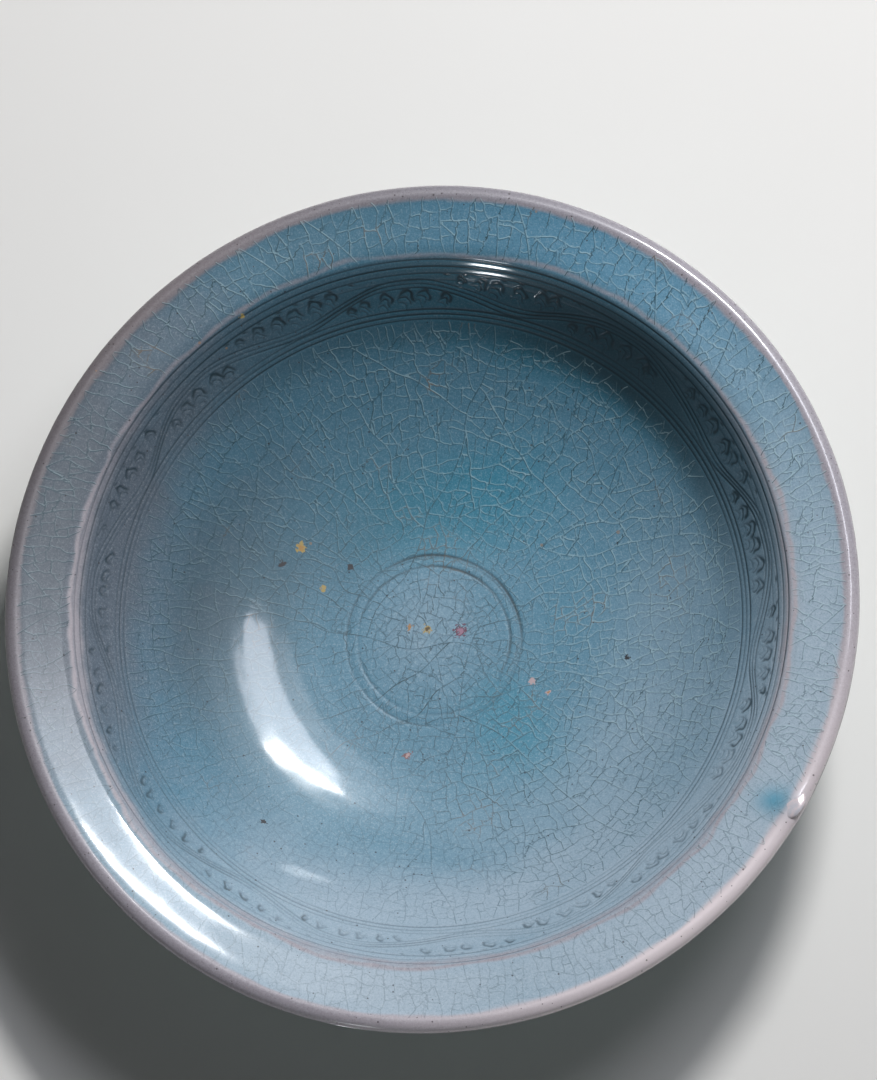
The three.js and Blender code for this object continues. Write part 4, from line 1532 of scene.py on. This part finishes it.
def clay_section(dish):
    """The clay's outline in section, from the middle of the base round to the middle of the well:
    first the part that shows, in fine steps, then the part under the glaze."""
    form = dish.form
    fillet, chamfer = form.foot_fillet, form.foot_chamfer
    inner = form.foot_radius - form.foot_width
    tapered = form.foot_radius - form.foot_taper
    base = np.linspace((BASE_START, form.foot_recess), (inner - fillet, form.foot_recess), BASE_RINGS)
    turn = np.linspace(0, math.pi / 2, 8)
    recess = (inner - fillet, form.foot_recess - fillet) + fillet * np.stack((np.sin(turn), np.cos(turn)), -1)
    ring = np.array(((inner, chamfer), (inner + chamfer * 0.3, chamfer * 0.3), (inner + chamfer, 0)))
    flat = np.linspace((inner + chamfer, 0), (tapered - chamfer, 0), 8)
    edge = np.array(((tapered - chamfer * 0.3, chamfer * 0.3), (tapered, chamfer)))
    top = np.array((form.foot_radius, dish.wall_outside(form.foot_radius)[1]))
    slope = np.array((1, dish.well_slope(form.foot_radius)))
    side_end = (lerp(tapered, form.foot_radius, 0.7), top[1] - fillet)
    side = np.linspace((tapered, chamfer), side_end, 8)
    joint = bezier(side_end, top, top + slope / np.linalg.norm(slope) * fillet, 10)
    bare = dish.wall_outside(np.linspace(form.foot_radius + 3.4, dish.glaze_line + 1, 10))
    hidden = [part[::-1][::20] for part, _ in dish.clay_parts()[::-1]]
    hidden[0] = hidden[0][1:]
    covered = np.vstack(hidden)
    covered = covered[covered[:, 0] > COVER_START]
    return np.vstack((base, recess[1:], ring, flat[1:], edge, side[1:-1], joint, bare)), covered


class DISH_OT_stoneware(bpy.types.Operator):
    """Makes the clay body, with its turned foot ring and bare base"""
    bl_idname = "dish.stoneware"
    bl_label = "Stoneware body"

    def execute(self, context):
        """The clay's section turned about the axis. Inside the foot it has a round scar, the
        spiral marks of turning, as a sine of the radius and the turn, and soft unevenness."""
        dish = Dish()
        form = dish.form
        shown, covered = clay_section(dish)
        section = np.vstack((shown, covered))
        radius, turn = np.meshgrid(section[:, 0], round_axis(CLAY_COLUMNS), indexing="ij")
        height = np.broadcast_to(section[:, 1:], radius.shape)
        visible = (np.arange(len(section)) < len(shown))[:, None]
        bumps = waves(np.random.default_rng(41), 8, 50, 5)
        uneven = ripple(bumps, radius * np.cos(turn), radius * np.sin(turn), height)
        inside_foot = radius < form.foot_radius - form.foot_width - 1
        scar = bell(radius - 33 - uneven, 2.4) * inside_foot * visible
        turning = np.sin(radius * WHOLE_TURN / 3.1 + 2.5 * turn / WHOLE_TURN) * visible
        rise = np.where(inside_foot, 0.1 * turning + 0.22 * scar + 0.12 * uneven, 0.0) * visible
        places = dish.thrown(radius, height - rise, turn).reshape(-1, 3)
        points = np.concatenate((places, [(0, 0, form.foot_recess)], [(0, 0, dish.floor_height)]))
        faces = [group[:, ::-1] for group in capped_faces(len(section), CLAY_COLUMNS)]
        flash = np.clip(smooth_step(54, 64, radius) + 0.5 * uneven, 0, 1)
        marks = {name: np.append(np.broadcast_to(value, radius.shape), (0, 0))
                 for name, value in (("flash", flash), ("scar", scar), ("turning", turning))}
        make_piece("clay_body", points, faces, None, marks, clay_material(), "stoneware_body")
        return {"FINISHED"}


class DISH_OT_kiln_lump(bpy.types.Operator):
    """Makes the blob of kiln grit on the lip"""
    bl_idname = "dish.kiln_lump"
    bl_label = "Kiln lump"

    def execute(self, context):
        """A ball drawn out to the lump's sizes and made uneven by random waves. It is turned with
        the lip's roll to its seat and bent along the lip."""
        dish = Dish()
        form = dish.form
        polar = np.linspace(0, math.pi, LUMP_ROWS + 1)[1:-1]
        polar, turn = np.meshgrid(polar, round_axis(LUMP_COLUMNS), indexing="ij")
        ball = np.stack((np.sin(polar) * np.cos(turn), np.sin(polar) * np.sin(turn), np.cos(polar)), -1)
        ball = np.concatenate((ball.reshape(-1, 3), [(0, 0, 1)], [(0, 0, -1)]))
        knobs = waves(np.random.default_rng(3), 7, 2.4, 0.6)
        swell = 1 + 0.09 * ripple(knobs, *ball.T)
        size = np.array((form.lump_height, form.lump_length, form.lump_width)) / 2
        rise, along, across = (ball * swell[:, None] * size).T
        seat_radius, seat_height = dish.on_lip(form.lump_seat_turn) - (0, form.lump_sink)
        out = rise * math.cos(form.lump_seat_turn) - across * math.sin(form.lump_seat_turn)
        up = rise * math.sin(form.lump_seat_turn) + across * math.cos(form.lump_seat_turn)
        places = dish.thrown(seat_radius + out, seat_height + up, form.lump_turn + along / seat_radius)
        faces = capped_faces(LUMP_ROWS - 1, LUMP_COLUMNS)
        marks = {"foot": smooth_step(0.2, -0.9, ball[:, 0])}
        make_piece("grit_lump", places, faces, None, marks, lump_material(), "kiln_lump")
        return {"FINISHED"}


# The lamps stand this far from a place so high over the middle of the floor, in metres
LAMP_REACH = 1.5
AIM_HEIGHT = 0.05

# Each lamp's setting, its two ends as directions from the dish, its width in metres and its tint
LAMPS = (
    ("main", (0.365, 0.518, 0.771), (0.172, 0.593, 0.782), 0.045, (1.0, 1.0, 1.0)),
    ("soft", (0.45, 0.17, 0.88), (0.18, 0.61, 0.78), 0.34, (0.88, 0.91, 1.0)),
    ("glow", (0.44, 0.16, 0.90), (0.05, 0.66, 0.75), 0.5, (0.91, 0.92, 1.0)),
    ("far", (0.363, 0.921, 0.140), (0.222, 0.961, 0.164), 0.03, (0.92, 0.96, 1.0)),
    ("low", (-0.30, -0.95, 0.06), (-0.18, -0.98, 0.06), 0.05, (0.92, 0.96, 1.0)),
)


def strip_lamp(name, first, last, width, light, tint):
    """A long lamp between two directions from the dish, that gives so much light at the dish."""
    first, last = Vector(first).normalized() * LAMP_REACH, Vector(last).normalized() * LAMP_REACH
    middle = (first + last) / 2
    lamp = bpy.data.lights.new(name, "AREA")
    lamp.shape = "ELLIPSE"
    lamp.size = (last - first).length
    lamp.size_y = width
    lamp.color = tint
    lamp.energy = math.pi ** 2 * middle.length_squared * light
    holder = bpy.data.objects.new(name, lamp)
    bpy.context.scene.collection.objects.link(holder)
    back = middle.normalized()
    across = (last - first).normalized()
    across = (across - back * across.dot(back)).normalized()
    over = back.cross(across)
    turn = Matrix((across, over, back)).transposed().to_4x4()
    holder.matrix_world = Matrix.Translation(middle + Vector((0, 0, AIM_HEIGHT))) @ turn


class DISH_OT_stage(bpy.types.Operator):
    """Makes the floor, the lamps, the room's light and the camera"""
    bl_idname = "dish.stage"
    bl_label = "Stage"

    def execute(self, context):
        stage = settings("dish_stage")
        self.make_floor()
        for name, first, last, width, tint in LAMPS:
            strip_lamp(f"{name}_lamp", first, last, width, getattr(stage, name), tint)
        self.make_room(stage)
        self.make_camera(stage)
        bpy.context.scene.view_settings.view_transform = "Standard"
        return {"FINISHED"}

    def make_floor(self):
        """A round floor that curves up far from the dish."""
        rings, columns = 40, 96
        inner, bend, outer = 0.2, 3.5, 6.0
        away, turn = np.meshgrid(np.geomspace(inner, outer, rings), round_axis(columns), indexing="ij")
        rise = np.maximum(away - bend, 0) ** 2 * 0.4
        points = np.stack((away * np.cos(turn), away * np.sin(turn), rise), -1).reshape(-1, 3)
        points = np.vstack((points, (0, 0, 0)))
        quads, middle, _ = capped_faces(rings, columns)
        faces = quads.tolist() + middle.tolist()
        mesh = bpy.data.meshes.new("studio_floor")
        mesh.from_pydata(points.tolist(), [], faces)
        mesh.polygons.foreach_set("use_smooth", np.ones(len(faces), bool))
        hues = settings("dish_colours")
        shader = Shader("studio_paper", 0.9)
        cloud = shader.noise(160, 2.0)
        mesh.materials.append(shader.finish(shader.mix(tuple(hues.floor), (1, 1, 1), cloud * 0.12)))
        floor = bpy.data.objects.new("studio_floor", mesh)
        bpy.context.scene.collection.objects.link(floor)

    def make_room(self, stage):
        """A dim even light; the camera sees the room as pale."""
        world = bpy.data.worlds.new("studio_room")
        bpy.context.scene.world = world
        world.use_nodes = True
        tree = world.node_tree
        dim = tree.nodes["Background"]
        dim.inputs["Color"].default_value = (0.93, 0.97, 1.0, 1.0)
        dim.inputs["Strength"].default_value = stage.ambient
        shown = tree.nodes.new("ShaderNodeBackground")
        shown.inputs["Color"].default_value = (0.86, 0.86, 0.85, 1.0)
        rays = tree.nodes.new("ShaderNodeLightPath")
        chooser = tree.nodes.new("ShaderNodeMixShader")
        tree.links.new(rays.outputs["Is Camera Ray"], chooser.inputs[0])
        tree.links.new(dim.outputs[0], chooser.inputs[1])
        tree.links.new(shown.outputs[0], chooser.inputs[2])
        tree.links.new(chooser.outputs[0], tree.nodes["World Output"].inputs["Surface"])

    def make_camera(self, stage):
        """The camera looks down on the dish, a little off its axis, as in the photograph."""
        tilt, turn = stage.tilt, stage.turn
        back = Vector((math.sin(tilt) * math.sin(turn), -math.sin(tilt) * math.cos(turn), math.cos(tilt)))
        up = (Vector((0, 1, 0)) - back * back.y).normalized()
        right = up.cross(back)
        rim = Vector((0, 0, settings("dish_form").rim_height))
        place = rim + back * stage.distance + right * stage.shift_right + up * stage.shift_up
        data = bpy.data.cameras.new("camera")
        data.sensor_width = 36
        data.lens = 36 * stage.distance / stage.frame_height
        data.clip_start, data.clip_end = 0.05, 50
        camera = bpy.data.objects.new("camera", data)
        bpy.context.scene.collection.objects.link(camera)
        camera.matrix_world = Matrix.Translation(place * MM) @ Matrix((right, up, back)).transposed().to_4x4()
        bpy.context.scene.camera = camera


class DISH_PT_panel(bpy.types.Panel):
    """Lists the steps that build the dish, and its settings"""
    bl_idname = "DISH_PT_panel"
    bl_label = "Celadon dish"
    bl_space_type = "VIEW_3D"
    bl_region_type = "UI"
    bl_category = "Dish"

    def draw(self, context):
        for operator in OPERATORS:
            self.layout.operator(operator.bl_idname)
        for group in GROUPS:
            box = self.layout.box()
            held = getattr(context.scene, group)
            for prop in held.bl_rna.properties:
                if prop.identifier not in ("rna_type", "name"):
                    box.prop(held, prop.identifier)


OPERATORS = (DISH_OT_stoneware, DISH_OT_inside_glaze, DISH_OT_outside_glaze, DISH_OT_kiln_lump, DISH_OT_stage)


def register():
    """Registers the settings, the operators and the panel."""
    for cls in (*GROUPS.values(), *OPERATORS, DISH_PT_panel):
        bpy.utils.register_class(cls)
    for name, group in GROUPS.items():
        setattr(bpy.types.Scene, name, bpy.props.PointerProperty(type=group))


def unregister():
    """Takes them away again, in the opposite order."""
    for name in GROUPS:
        delattr(bpy.types.Scene, name)
    for cls in reversed((*GROUPS.values(), *OPERATORS, DISH_PT_panel)):
        bpy.utils.unregister_class(cls)


def main():
    """Builds the pieces and the stage in order."""
    register()
    bpy.ops.dish.stoneware()
    bpy.ops.dish.inside_glaze()
    bpy.ops.dish.outside_glaze()
    bpy.ops.dish.kiln_lump()
    bpy.ops.dish.stage()
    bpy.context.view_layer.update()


if __name__ == "__main__":
    main()
